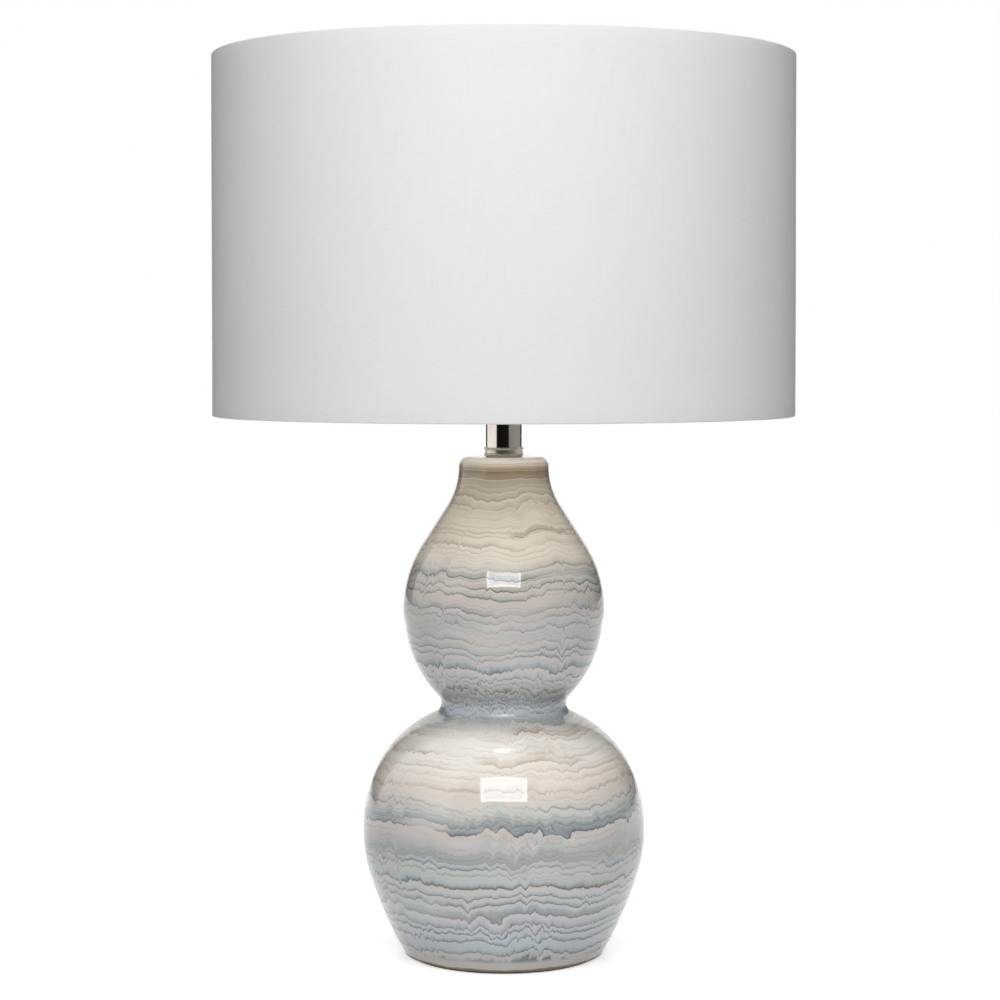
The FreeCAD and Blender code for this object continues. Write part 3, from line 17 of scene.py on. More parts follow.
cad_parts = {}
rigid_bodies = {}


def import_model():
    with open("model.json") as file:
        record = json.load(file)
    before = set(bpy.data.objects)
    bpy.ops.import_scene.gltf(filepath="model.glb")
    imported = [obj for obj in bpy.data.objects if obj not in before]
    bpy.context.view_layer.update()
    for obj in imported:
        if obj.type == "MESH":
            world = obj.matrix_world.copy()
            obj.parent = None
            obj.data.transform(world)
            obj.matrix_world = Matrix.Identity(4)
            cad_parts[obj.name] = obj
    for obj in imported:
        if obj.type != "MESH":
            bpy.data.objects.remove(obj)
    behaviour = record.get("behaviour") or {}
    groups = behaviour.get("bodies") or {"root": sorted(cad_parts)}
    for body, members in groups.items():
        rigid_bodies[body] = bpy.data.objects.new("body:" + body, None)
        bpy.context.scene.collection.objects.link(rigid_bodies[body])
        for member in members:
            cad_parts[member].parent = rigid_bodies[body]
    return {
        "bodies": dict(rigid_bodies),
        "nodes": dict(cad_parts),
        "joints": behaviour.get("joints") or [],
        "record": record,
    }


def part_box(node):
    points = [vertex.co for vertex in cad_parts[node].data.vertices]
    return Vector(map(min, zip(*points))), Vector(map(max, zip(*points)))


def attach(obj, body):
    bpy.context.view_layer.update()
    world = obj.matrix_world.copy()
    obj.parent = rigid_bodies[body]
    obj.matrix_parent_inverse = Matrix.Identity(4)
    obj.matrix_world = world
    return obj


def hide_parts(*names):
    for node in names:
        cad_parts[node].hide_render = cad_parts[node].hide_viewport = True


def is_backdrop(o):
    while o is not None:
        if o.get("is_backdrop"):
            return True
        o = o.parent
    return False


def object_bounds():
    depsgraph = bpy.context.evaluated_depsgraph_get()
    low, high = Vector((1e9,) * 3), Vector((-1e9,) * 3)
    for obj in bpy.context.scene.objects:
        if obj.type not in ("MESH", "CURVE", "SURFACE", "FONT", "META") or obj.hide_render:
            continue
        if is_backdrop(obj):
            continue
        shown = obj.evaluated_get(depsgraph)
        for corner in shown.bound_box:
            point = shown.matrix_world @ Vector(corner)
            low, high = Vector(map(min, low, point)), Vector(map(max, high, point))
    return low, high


LOG = logging.getLogger("lamp")
Colour = tuple[float, float, float]
Place = tuple[float, float, float]
Point = tuple[float, float]
Operand = Union["Wire", int, float]
Key = Union[int, str]


# ---- node trees --------------------------------------------------------------------------------


class Wire:
    """A node socket that can be used in arithmetic."""

    def __init__(self, board: "Board", socket: bpy.types.NodeSocket) -> None:
        """Keeps the socket and the board its maths is added to."""
        self.board = board
        self.socket = socket

    def _math(self, operation: str, *values: Operand) -> "Wire":
        """Adds one Math node and returns its result."""
        return self.board.node("ShaderNodeMath", {"operation": operation}, dict(enumerate(values)))

    def __add__(self, other: Operand) -> "Wire":
        """Sum."""
        return self._math("ADD", self, other)

    def __radd__(self, other: Operand) -> "Wire":
        """Sum with a number on the left."""
        return self._math("ADD", other, self)

    def __sub__(self, other: Operand) -> "Wire":
        """Difference."""
        return self._math("SUBTRACT", self, other)

    def __rsub__(self, other: Operand) -> "Wire":
        """Difference from a number on the left."""
        return self._math("SUBTRACT", other, self)

    def __mul__(self, other: Operand) -> "Wire":
        """Product."""
        return self._math("MULTIPLY", self, other)

    def __rmul__(self, other: Operand) -> "Wire":
        """Product with a number on the left."""
        return self._math("MULTIPLY", other, self)

    def __truediv__(self, other: Operand) -> "Wire":
        """Quotient."""
        return self._math("DIVIDE", self, other)

    def __rtruediv__(self, other: Operand) -> "Wire":
        """Quotient of a number on the left."""
        return self._math("DIVIDE", other, self)

    def __pow__(self, other: Operand) -> "Wire":
        """Power."""
        return self._math("POWER", self, other)

    def __abs__(self) -> "Wire":
        """Size without its sign."""
        return self._math("ABSOLUTE", self)

    def whole(self) -> "Wire":
        """The whole number below."""
        return self._math("FLOOR", self)

    def part(self) -> "Wire":
        """What is left above the whole number below."""
        return self._math("FRACT", self)

    def above(self, limit: Operand) -> "Wire":
        """1 where it is over a limit, and 0 elsewhere."""
        return self._math("GREATER_THAN", self, limit)

    def least(self, other: Operand) -> "Wire":
        """The smaller of two."""
        return self._math("MINIMUM", self, other)

    def most(self, other: Operand) -> "Wire":
        """The larger of two."""
        return self._math("MAXIMUM", self, other)

    def turned_from(self, other: "Wire") -> "Wire":
        """The angle whose tangent is this over the other."""
        return self._math("ARCTAN2", self, other)

    def sine(self) -> "Wire":
        """Sine of an angle."""
        return self._math("SINE", self)

    def near(self, middle: float, reach: float) -> "Wire":
        """1 at the middle, down to 0 at that reach on either side."""
        return 1.0 - (abs(self - middle) / reach).least(1.0)

    def within(self, low: float, rise: float, fall: float, high: float) -> "Wire":
        """Steps smoothly from 0 at low to 1 at rise, and from 1 at fall to 0 at high."""
        return self.fade(low, rise) * self.fade(high, fall)

    def fade(self, low: float, high: float) -> "Wire":
        """A smooth step from 0 at low to 1 at high.

        Args:
            low: Where the step starts.
            high: Where it ends. It may be below low, for a step down.

        Returns:
            The step, held between 0 and 1.
        """
        if low > high:
            return 1.0 - self.fade(high, low)
        sockets = {"Value": self, "From Min": low, "From Max": high}
        return self.board.node("ShaderNodeMapRange", {"interpolation_type": "SMOOTHSTEP"}, sockets)


Value = Union[Wire, int, float, Sequence[float], bpy.types.ID, str]


class Board:
    """Adds nodes to one tree, each through the same method."""

    def __init__(self, tree: bpy.types.NodeTree) -> None:
        """Keeps the tree."""
        self.tree = tree

    def node(
        self,
        kind: str,
        settings: Mapping[str, object] | None = None,
        sockets: Mapping[Key, Value] | None = None,
        out: Key = 0,
    ) -> Wire | None:
        """Adds a node.

        Args:
            kind: The node's type.
            settings: Its own settings, set first. The key stops holds a ramp's (place, colour) pairs.
            sockets: Values or links by input name, identifier or number.
            out: The output that is returned.

        Returns:
            The wanted output, or nothing from a node that has none.
        """
        made = self.tree.nodes.new(kind)
        for name, value in (settings or {}).items():
            if name == "stops":
                self._set_stops(made.color_ramp, value)
            else:
                setattr(made, name, value)
        for key, value in (sockets or {}).items():
            self.feed(self._pick(made.inputs, key), value)
        return Wire(self, self._pick(made.outputs, out)) if made.outputs else None

    def feed(self, socket: bpy.types.NodeSocket, value: Value) -> None:
        """Links a socket to a wire, or sets its value."""
        if isinstance(value, Wire):
            self.tree.links.new(value.socket, socket)
        elif socket.type == "RGBA":
            socket.default_value = (*value, 1.0)
        else:
            socket.default_value = value

    @staticmethod
    def _pick(sockets: Sequence[bpy.types.NodeSocket], key: Key) -> bpy.types.NodeSocket:
        """A socket by its identifier, or else by its name or number."""
        for socket in sockets:
            if socket.identifier == key:
                return socket
        return sockets[key]

    @staticmethod
    def _set_stops(ramp: bpy.types.ColorRamp, stops: Sequence[tuple[float, Colour]]) -> None:
        """Sets a colour ramp's stops, in order of place."""
        while len(ramp.elements) < len(stops):
            ramp.elements.new(0.5)
        for element, (place, colour) in zip(ramp.elements, stops):
            element.position = place
            element.color = (*colour, 1.0)

    def place(self) -> Wire:
        """The point on the object, in metres."""
        return self.node("ShaderNodeTexCoord", None, None, "Object")

    def split(self, place: Value) -> tuple[Wire, ...]:
        """The x, y and z of a point."""
        parted = self.node("ShaderNodeSeparateXYZ", None, {"Vector": place})
        return tuple(Wire(self, output) for output in parted.socket.node.outputs)

    def mix(self, factor: Value, first: Value, second: Value) -> Wire:
        """Mixes two colours."""
        sockets = {"Factor_Float": factor, "A_Color": first, "B_Color": second}
        return self.node("ShaderNodeMix", {"data_type": "RGBA"}, sockets, "Result_Color")

    def noise(
        self,
        place: Value,
        scale: float | Place,
        detail: float = 2.0,
        shift: float = 0.0,
        rough: float = 0.5,
    ) -> Wire:
        """Adds a noise between 0 and 1 about 0.5.

        Args:
            place: The point it is read at.
            scale: Patches in a metre, alike or along each axis.
            detail: How many finer noises are laid over the first.
            shift: Moves it, so that no two noises are the same.
            rough: How strong the finer ones are.

        Returns:
            The noise.
        """
        scales = scale if isinstance(scale, tuple) else (scale, scale, scale)
        moved = {0: place, 1: scales, 2: (shift, shift * 1.7, shift * 0.6)}
        vector = self.node("ShaderNodeVectorMath", {"operation": "MULTIPLY_ADD"}, moved)
        sockets = {"Vector": vector, "Scale": 1.0, "Detail": detail, "Roughness": rough}
        return self.node("ShaderNodeTexNoise", {"noise_dimensions": "3D"}, sockets)

    def chance(self, number: Wire, salt: float) -> Wire:
        """A fixed random number between 0 and 1 for each whole number."""
        return self.node("ShaderNodeTexWhiteNoise", {"noise_dimensions": "1D"}, {"W": number + salt})

    def bump(self, height: Wire, distance: float, strength: float = 1.0) -> Wire:
        """A normal bent by a height in the unit of distance."""
        sockets = {"Height": height, "Distance": distance, "Strength": strength}
        return self.node("ShaderNodeBump", None, sockets)

    def surface(self, sockets: Mapping[str, Value]) -> Wire:
        """The shader that every finish is drawn with."""
        return self.node("ShaderNodeBsdfPrincipled", None, sockets)

    def glow(self, colour: Value, strength: Value) -> Wire:
        """A shader that only shines."""
        return self.node("ShaderNodeEmission", None, {"Color": colour, "Strength": strength})

    def either(self, factor: Wire, first: Wire, second: Wire) -> Wire:
        """The first shader where the factor is 0 and the second where it is 1."""
        return self.node("ShaderNodeMixShader", None, {0: factor, 1: first, 2: second})

    def ray(self, kind: str) -> Wire:
        """1 for one kind of ray of light, and 0 for others."""
        return self.node("ShaderNodeLightPath", None, None, kind)


def cleared(owner: Union[bpy.types.Material, bpy.types.World]) -> Board:
    """A board on the empty tree of a material or a world."""
    owner.use_nodes = True
    owner.node_tree.nodes.clear()
    return Board(owner.node_tree)


def linked(name: str, data: bpy.types.ID) -> bpy.types.Object:
    """A new object in the scene, at the origin."""
    made = bpy.data.objects.new(name, data)
    bpy.context.scene.collection.objects.link(made)
    return made


# ---- finishes ----------------------------------------------------------------------------------


def tone(red: float, green: float, blue: float) -> Colour:
    """A colour given as it looks on a screen, from 0 to 255, as linear light."""

    def linear(level: float) -> float:
        """One channel."""
        part = level / 255.0
        return part / 12.92 if part <= 0.04045 else ((part + 0.055) / 1.055) ** 2.4

    return linear(red), linear(green), linear(blue)


def scaled(colour: Colour, share: float) -> Colour:
    """A colour made darker or lighter."""
    return tuple(min(1.0, channel * share) for channel in colour)


@dataclass(frozen=True)
class Finish:
    """What every finish has: a name and a way to make its material."""

    name: str

    def material(self) -> bpy.types.Material:
        """Makes the material once, and returns the same one after that."""
        title = self.name + "_finish"
        found = bpy.data.materials.get(title)
        if found is not None:
            return found
        made = bpy.data.materials.new(title)
        board = cleared(made)
        board.node("ShaderNodeOutputMaterial", None, {"Surface": self.paint(board)})
        return made

    def paint(self, board: Board) -> Wire:
        """Draws the finish and returns its shader."""
        raise NotImplementedError


@dataclass(frozen=True)
class Metal(Finish):
    """A plated or bare metal with fine turning marks and a little wear."""

    colour: Colour
    roughness: float
    turned: float = 0.25
    tarnish: float = 0.24

    def paint(self, board: Board) -> Wire:
        """Draws hair lines round the axis, soft smears and a faint tarnish."""
        place = board.place()
        smear = board.noise(place, (90.0, 90.0, 240.0), 3.0)
        lines = board.noise(place, (300.0, 300.0, 9000.0), 2.0, 3.1)
        dull = board.noise(place, 40.0, 4.0, 7.7).fade(0.45, 0.8)
        rough = self.roughness * (0.75 + smear * 0.5) + lines * 0.04 * self.turned
        return board.surface(
            {
                "Base Color": board.mix(dull * self.tarnish, self.colour, tone(120, 96, 66)),
                "Metallic": 1.0,
                "Roughness": rough,
                "Normal": board.bump(lines * self.turned, 0.000006),
            }
        )


@dataclass(frozen=True)
class Moulded(Finish):
    """A moulded plastic, rubber or enamel with a fine grain."""

    colour: Colour
    roughness: float
    grain: float = 1200.0
    depth: float = 0.00002
    clouded: float = 0.82

    def paint(self, board: Board) -> Wire:
        """Draws the grain, with slight changes of colour and gloss."""
        place = board.place()
        grain = board.noise(place, self.grain, 3.0)
        cloud = board.noise(place, 35.0, 2.0, 2.2)
        return board.surface(
            {
                "Base Color": board.mix(cloud, self.colour, scaled(self.colour, self.clouded)),
                "Roughness": self.roughness + (grain - 0.5) * 0.12,
                "Normal": board.bump(grain, self.depth),
            }
        )


@dataclass(frozen=True)
class PressedFibre(Finish):
    """Felt or card: short fibres pressed flat."""

    colour: Colour
    fibre: float
    depth: float = 0.00015

    def paint(self, board: Board) -> Wire:
        """Draws the fibres as a mottled colour and a rough height."""
        place = board.place()
        fibres = board.noise(place, self.fibre, 6.0, rough=0.7)
        tufts = board.noise(place, self.fibre * 0.12, 3.0, 5.0)
        mottle = (fibres * 0.7 + tufts * 0.3).fade(0.3, 0.7)
        return board.surface(
            {
                "Base Color": board.mix(mottle, scaled(self.colour, 0.55), scaled(self.colour, 1.35)),
                "Roughness": 0.95,
                "Sheen Weight": 0.3,
                "Normal": board.bump(fibres, self.depth),
            }
        )


@dataclass(frozen=True)
class FrostedGlass(Finish):
    """The bulb's white frosted glass."""

    colour: Colour = tone(244, 243, 238)
    greyer: Colour = tone(226, 226, 222)

    def paint(self, board: Board) -> Wire:
        """Draws a milky glass with a faint etched grain."""
        place = board.place()
        grain = board.noise(place, 1500.0)
        cloud = board.noise(place, 50.0, 2.0, 4.0)
        return board.surface(
            {
                "Base Color": board.mix(cloud * 0.3, self.colour, self.greyer),
                "Roughness": 0.26 + grain * 0.1,
                "IOR": 1.5,
                "Subsurface Weight": 0.25,
                "Subsurface Radius": (0.004, 0.004, 0.004),
                "Normal": board.bump(grain, 0.00001),
            }
        )


@dataclass(frozen=True)
class WovenLinen(Finish):
    """Off-white linen in a plain weave, with slubs along the weft.

    The cloth's own map holds the distance round the drum and up it in metres.
    """

    warp_pitch: float = 0.00055
    weft_pitch: float = 0.00050
    light: Colour = tone(238, 238, 238)
    # The darker tone: random mottle, and painted shade in the weave's gaps.
    shade: Colour = tone(222, 222, 221)

    def paint(self, board: Board) -> Wire:
        """Draws threads over and under each other, slubs, thin spots, a soft sheen, and painted shade in the gaps
        between threads.
        """
        cloth = board.node("ShaderNodeUVMap", {"uv_map": "cloth"})
        weave = self._weave(board, cloth)
        slub = board.noise(cloth, (38.0, 1900.0, 1.0)).fade(0.60, 0.80)
        fine = board.noise(cloth, (130.0, 2400.0, 1.0), 1.0)
        upright = board.noise(cloth, (1700.0, 22.0, 1.0))
        cloud = board.noise(cloth, 9.0, 3.0)
        mottle = (fine - 0.5) * 0.8 + (upright - 0.5) * 0.55 + slub * 0.25 + (cloud - 0.5) * 0.25
        # Painted shade: the cloth is darker where the threads dip, in the gaps of the weave.
        painted_gap_shade = 1.0 - weave.fade(0.05, 0.75)
        tint = (mottle * 0.8 + painted_gap_shade * 0.28 + 0.28).fade(-0.2, 1.2)
        height = weave * 0.6 + slub * 0.7 + fine * 0.25
        return board.surface(
            {
                "Base Color": board.mix(tint, self.light, self.shade),
                "Roughness": 0.93 - slub * 0.08,
                "Diffuse Roughness": 0.4,
                "Specular IOR Level": 0.25,
                "Sheen Weight": 0.08,
                "Sheen Roughness": 0.5,
                "Normal": board.bump(height, 0.00009, 0.65),
            }
        )

    def _weave(self, board: Board, cloth: Wire) -> Wire:
        """The height of warp and weft, each over the other in turn."""
        across, up, _ = board.split(cloth)
        wander = (board.noise(cloth, (60.0, 60.0, 1.0)) - 0.5) * 1.2
        warp = across / self.warp_pitch + wander
        weft = up / self.weft_pitch + wander * 0.7
        over = ((warp.whole() + weft.whole()) * 0.5).part() * 2.0
        warp_height = abs((warp * math.pi).sine()) * (0.45 + over * 0.55)
        weft_height = abs((weft * math.pi).sine()) * (1.0 - over * 0.55)
        return warp_height.most(weft_height)


@dataclass(frozen=True)
class Run:
    """One bold band of the glaze.

    Its dark lower edge lies at one height, and it fades over its reach. A warm one is brown. One with
    an azimuth runs only part of the way round, about that many degrees from x.
    """

    edge: float
    reach: float
    depth: float
    warm: bool = False
    azimuth: float | None = None


@dataclass(frozen=True)
class Wave:
    """One size of wave in the glaze's edges.

    It has that many patches in a metre round the pot and up it, its own shift and detail, and it
    carries an edge down by at most its reach.
    """

    around: float
    up: float
    shift: float
    reach: float
    detail: float = 1.0

    def draw(self, board: Board, place: Wire) -> Wire:
        """The wave at a place, between -0.5 and 0.5."""
        scale = (self.around, self.around, self.up)
        return board.noise(place, scale, self.detail, self.shift) - 0.5


@dataclass(frozen=True)
class BandedGlaze(Finish):
    """A glossy reactive glaze that ran down the pot in wavy bands with dark lower edges.

    Every height is on the lamp. A band starts pale at its top, deepens down to a thin dark edge, and
    the next one starts pale again. All edges share the same drips, so they line up one under another.
    Two heights are where a change starts and ends, and four where something rises and falls again.
    Drips are read at a point moved by the share evened towards one even reach from the axis. A band
    that runs only part of the way round ends between the angles of part_band, from its middle.
    """

    top: float = 0.3715
    foot: float = 0.0016
    waist: float = 0.197
    waist_reach: float = 0.024
    groove: float = 0.187
    groove_reach: float = 0.009
    wiped_off: tuple[float, ...] = (0.0042, 0.0034)
    # Below these heights the glaze fades to one pale tone: partly thinner glaze, partly painted light on the
    # foot, which curves under.
    pale_glaze_and_painted_light_span: tuple[float, ...] = (0.0122, 0.0080)
    shoulder: tuple[float, ...] = (0.132, 0.150, 0.178, 0.188)
    upper_bulb: tuple[float, ...] = (0.212, 0.235)
    cone: tuple[float, ...] = (0.285, 0.300)
    lip: tuple[float, ...] = (0.342, 0.361)
    warm_shoulder: tuple[float, ...] = (0.120, 0.140, 0.170, 0.184)
    warm_cone: tuple[float, ...] = (0.288, 0.300)
    steady_foot: tuple[float, ...] = (0.078, 0.066)
    steady_bulb: tuple[float, ...] = (0.178, 0.186, 0.278, 0.284)
    steadier: tuple[float, ...] = (0.222, 0.208)
    slow: Wave = Wave(15.0, 8.0, 1.0, 0.016)
    middle: Wave = Wave(46.0, 20.0, 2.0, 0.008)
    scallop: Wave = Wave(74.0, 24.0, 3.0, 0.020)
    tooth: Wave = Wave(200.0, 70.0, 4.0, 0.0085)
    ripple: Wave = Wave(330.0, 60.0, 13.0, 0.0048, 0.0)
    point: Wave = Wave(24.0, 7.0, 5.0, 0.0045, 0.0)
    evened: float = 0.5
    even_reach: float = 0.096
    axis_reach: float = 0.004
    part_band: tuple[float, ...] = (32.0, 22.0)
    clay: Colour = tone(152, 134, 110)
    # The pale tone near the foot: partly thin glaze, partly painted light.
    pale_glaze_and_painted_light: Colour = tone(211, 208, 203)

    def zones(self) -> list[tuple[float, Colour]]:
        """The ground colour by height on the pot, from the foot up. It is partly the glaze's own colour and
        partly painted light: lighter on the belly's top and the lip's top face, which lie in the shade's shadow,
        and darker on the low belly and upper bulb.
        """
        return [
            (0.006, tone(214, 206, 192)),
            (0.020, tone(202, 212, 219)),
            (0.048, tone(218, 224, 225)),
            (0.084, tone(201, 211, 210)),
            (0.087, tone(211, 205, 204)),
            (0.108, tone(219, 215, 210)),
            (0.116, tone(234, 234, 230)),
            (0.130, tone(230, 221, 210)),
            # Painted light: the belly's top is made lighter here, where the shade's shadow falls.
            (0.146, tone(245, 238, 228)),
            (0.163, tone(248, 247, 242)),
            (0.174, tone(246, 242, 236)),
            (0.184, tone(207, 217, 225)),
            (0.198, tone(183, 185, 188)),
            (0.210, tone(206, 204, 205)),
            (0.240, tone(206, 204, 200)),
            (0.290, tone(222, 216, 206)),
            (0.300, tone(245, 236, 222)),
            (0.322, tone(242, 231, 214)),
            (0.340, tone(213, 202, 180)),
            (0.352, tone(200, 189, 167)),
            (0.362, tone(150, 128, 99)),
            # Painted light: the lip's edge and top face are made lighter, where the shade's shadow falls.
            (0.366, tone(224, 204, 179)),
            (0.368, tone(247, 238, 223)),
        ]

    def counts(self) -> list[tuple[float, float]]:
        """How many bands lie between one height and the next, from the foot up."""
        return [
            (0.010, 0.0),
            (0.085, 10.5),
            (0.112, 2.0),
            (0.128, 2.0),
            (0.172, 5.0),
            (0.212, 7.5),
            (0.286, 10.0),
            (0.300, 2.0),
            (0.3715, 15.0),
        ]

    def runs(self) -> list[Run]:
        """The bold bands."""
        return [
            Run(0.0853, 0.0170, 0.80),
            Run(0.1118, 0.0130, 0.85),
            Run(0.1535, 0.0060, 0.95, True, -75.0),
            Run(0.1720, 0.0050, 0.95, True, -58.0),
            Run(0.1815, 0.0050, 0.70),
            Run(0.1965, 0.0070, 0.80),
            Run(0.2205, 0.0050, 0.50),
            Run(0.2463, 0.0060, 0.50),
            Run(0.2865, 0.0058, 1.00),
            Run(0.3170, 0.0040, 0.90, True, -58.0),
        ]

    def paint(self, board: Board) -> Wire:
        """Draws the run glaze, its drips and bands, the bare foot, a pale band above it that is partly thin glaze
        and partly painted light, and the wet gloss.
        """
        place = self._wrapped(board, board.place())
        _, _, height = board.split(place)
        level = height + self._drips(board, place, height)
        colour, relief = self._banded(board, place, level)
        ragged = height + (board.noise(place, 60.0, 2.0, 15.0) - 0.5) * 0.003
        bare = ragged.fade(*self.wiped_off)
        # Partly thin glaze and partly painted light: near the foot, which faces down and gets less light, the
        # colour is lifted to one pale tone.
        colour = board.mix(ragged.fade(*self.pale_glaze_and_painted_light_span), colour, self.pale_glaze_and_painted_light)
        pool = board.noise(place, (38.0, 38.0, 60.0), 3.0, 6.0)
        pin = board.noise(place, 900.0, 2.0, 8.0)
        dulled = height.near(self.groove, self.groove_reach) * 0.25
        return board.surface(
            {
                "Base Color": board.mix(bare, colour, self.clay),
                "Roughness": 0.05 + bare * 0.75 + pool * 0.03 + dulled,
                "IOR": 1.52,
                "Normal": board.bump(pool * 0.8 + relief * 0.05 + bare * pin * 0.6, 0.0002, 0.5),
            }
        )

    def _wrapped(self, board: Board, place: Wire) -> Wire:
        """The point moved towards one even reach, so that drips span nearly the same angle all the way up."""
        across, along, height = board.split(place)
        reach = (across * across + along * along) ** 0.5
        stretch = 1.0 - self.evened + self.evened * self.even_reach / reach.most(self.axis_reach)
        sockets = {"X": across * stretch, "Y": along * stretch, "Z": height}
        return board.node("ShaderNodeCombineXYZ", None, sockets)

    def _drips(self, board: Board, place: Wire, height: Wire) -> Wire:
        """How far the glaze ran down at each point, as a height added to the level.

        Slow waves carry scallops with sharp lower points, and a few deeper runs. They are livelier at
        the waist and calmer on the shoulder, on the cone of the upper bulb and at the lip.
        """
        strong = board.noise(place, (22.0, 22.0, 30.0), 1.0, 9.0).fade(0.38, 0.62)
        waist = height.near(self.waist, self.waist_reach)
        shoulder = height.within(*self.shoulder)
        bulb = height.fade(*self.upper_bulb)
        calmer = 1.0 - height.fade(*self.cone) * 0.42 - shoulder * 0.50 - bulb * 0.24
        lively = (0.30 + strong * 0.75 + waist * 0.30) * calmer
        slow = self.slow.draw(board, place) * (self.slow.reach - waist * 0.006 - shoulder * 0.006)
        middle = self.middle.draw(board, place) * self.middle.reach * (1.0 - shoulder * 0.4)
        scallop = (abs(self.scallop.draw(board, place)) - 0.08) * self.scallop.reach * lively
        tooth = (abs(self.tooth.draw(board, place)) - 0.08) * self.tooth.reach * lively
        ripple = (abs(self.ripple.draw(board, place)) - 0.10) * self.ripple.reach
        ripple = ripple * (0.55 + strong * 0.45) * calmer
        point = self.point.draw(board, place).near(0.0, 0.022) * self.point.reach
        point = point * strong * (1.0 - shoulder * 0.8)
        calm = 1.0 - height.fade(*self.lip) * 0.85
        return calm * (slow + middle - scallop - tooth - ripple + point)

    def _banded(self, board: Board, place: Wire, level: Wire) -> tuple[Wire, Wire]:
        """Lays every band over the ground colour.

        Args:
            board: Where the nodes go.
            place: The point on the object.
            level: Its height after the glaze ran.

        Returns:
            The glaze's colour, and the depth of its edges from 0 to 1.
        """
        span = self.top - self.foot
        stops = [((z - self.foot) / span, colour) for z, colour in self.zones()]
        ramp = {"Fac": (level - self.foot) / span}
        body = board.node("ShaderNodeValToRGB", {"stops": stops}, ramp)
        warm = (level.within(*self.warm_shoulder) + level.fade(*self.warm_cone)).least(1.0)

        count = self._count(board, level)
        even = count + (count * 1.9).sine() * 0.24 + (count * 5.3).sine() * 0.07
        number, down = even.whole(), 1.0 - even.part()
        ringed = level.within(*self.steady_bulb) * (level.fade(*self.steadier) * 0.55 + 0.45)
        steady = (level.fade(*self.steady_foot) + ringed) * 0.35
        patch = board.noise(place, (12.0, 12.0, 75.0), 2.0, 11.0).fade(0.32, 0.58)
        patchy = patch * (0.80 - steady) + 0.20 + steady
        strength = 0.35 + steady + board.chance(number, 7.0) * (0.65 - steady)
        weight = strength * patchy * (1.0 - warm * 0.35)

        fine_down = 1.0 - (count * 2.6 + board.chance(number, 5.0)).part()
        fine_patch = board.noise(place, (17.0, 17.0, 110.0), 2.0, 23.0).fade(0.40, 0.66)
        fine = fine_down ** 5.0 * fine_patch * (1.0 - steady * 1.6)

        soft, deep, blush = self._tints(board, number, warm)
        wash = board.noise(place, (10.0, 10.0, 70.0), 2.0, 12.0).fade(0.40, 0.70)
        bold, bold_warm = self._bold(board, place, level)
        edge = bold ** 5.0
        for share, colour in (
            (wash * 0.35, blush),
            (down ** 1.6 * weight * 0.70, soft),
            (fine * (0.42 - warm * 0.12), deep),
            (down ** (6.5 - steady * 5.0) * weight * 0.95, deep),
            ((1.0 - down / 0.26).most(0.0) * 0.50, blush),
            (bold * 0.62, board.mix(bold_warm, tone(138, 160, 160), tone(170, 146, 112))),
            (edge * 0.85, board.mix(bold_warm, tone(70, 80, 86), tone(112, 88, 62))),
        ):
            body = board.mix(share, body, colour)
        return body, (down ** 8.0 * weight).most(edge)

    @staticmethod
    def _tints(board: Board, number: Wire, warm: Wire) -> tuple[Wire, Wire, Wire]:
        """A band's soft and deep tints, green or blue by its number and brown where warm, and its blush."""
        pick = board.chance(number, 3.0).fade(0.40, 0.60)
        soft = board.mix(pick, tone(150, 170, 165), tone(140, 162, 176))
        deep = board.mix(pick, tone(82, 86, 84), tone(74, 86, 96))
        blush = board.mix(warm, tone(222, 206, 200), tone(240, 230, 214))
        soft, deep = board.mix(warm, soft, tone(186, 168, 140)), board.mix(warm, deep, tone(128, 108, 80))
        return soft, deep, blush

    def _count(self, board: Board, level: Wire) -> Wire:
        """The number of bands below a level."""
        knots = self.counts()
        total = level * 0.0
        for (low, _), (high, bands) in zip(knots, knots[1:]):
            sockets = {"Value": level, "From Min": low, "From Max": high, "To Max": bands}
            total = total + board.node("ShaderNodeMapRange", None, sockets)
        return total

    def _bold(self, board: Board, place: Wire, level: Wire) -> tuple[Wire, Wire]:
        """The depth of the bold bands, and how warm they are."""
        across, along, _ = board.split(place)
        azimuth = along.turned_from(across) * (180.0 / math.pi)
        depth, warmth = level * 0.0, level * 0.0
        for run in self.runs():
            rise = level - run.edge
            shape = (1.0 - rise / run.reach).most(0.0) * rise.above(0.0) * run.depth
            if run.azimuth is not None:
                shape = shape * abs(azimuth - run.azimuth).fade(*self.part_band)
            depth = depth.most(shape)
            if run.warm:
                warmth = warmth.most(shape.above(0.0))
        broken = board.noise(place, (9.0, 9.0, 20.0), 2.0, 31.0).fade(0.25, 0.55) * 0.55 + 0.45
        return depth * broken, warmth


class Slot(Enum):
    """The record's material slots, passed along with each new piece."""

    GLAZE = "glaze"
    LINEN = "linen"
    SOCKET_METAL = "socket_metal"
    BULB_METAL = "bulb_metal"


GLAZE = BandedGlaze("glaze")
LINEN = WovenLinen("linen")
NICKEL = Metal("nickel", tone(226, 218, 206), 0.07)
SATIN_NICKEL = Metal("satin_nickel", tone(206, 200, 187), 0.22, 0.8)
STEEL = Metal("steel", tone(176, 176, 172), 0.34, 1.0)
BRASS = Metal("brass", tone(206, 170, 96), 0.25, 0.6)
SOCKET_BRASS = Metal("socket_brass", tone(210, 178, 108), 0.22, 0.6)
CAP_METAL = Metal("bulb_metal", tone(206, 206, 204), 0.28, 0.6)
BLACK_PLASTIC = Moulded("black_plastic", tone(24, 24, 24), 0.28)
PHENOLIC = Moulded("phenolic", tone(46, 40, 36), 0.42)
RUBBER = Moulded("grommet", tone(34, 34, 34), 0.6)
GASKET = Moulded("gasket", tone(214, 210, 198), 0.35)
STYRENE = Moulded("styrene", tone(243, 243, 241), 0.45, 700.0, clouded=0.965)
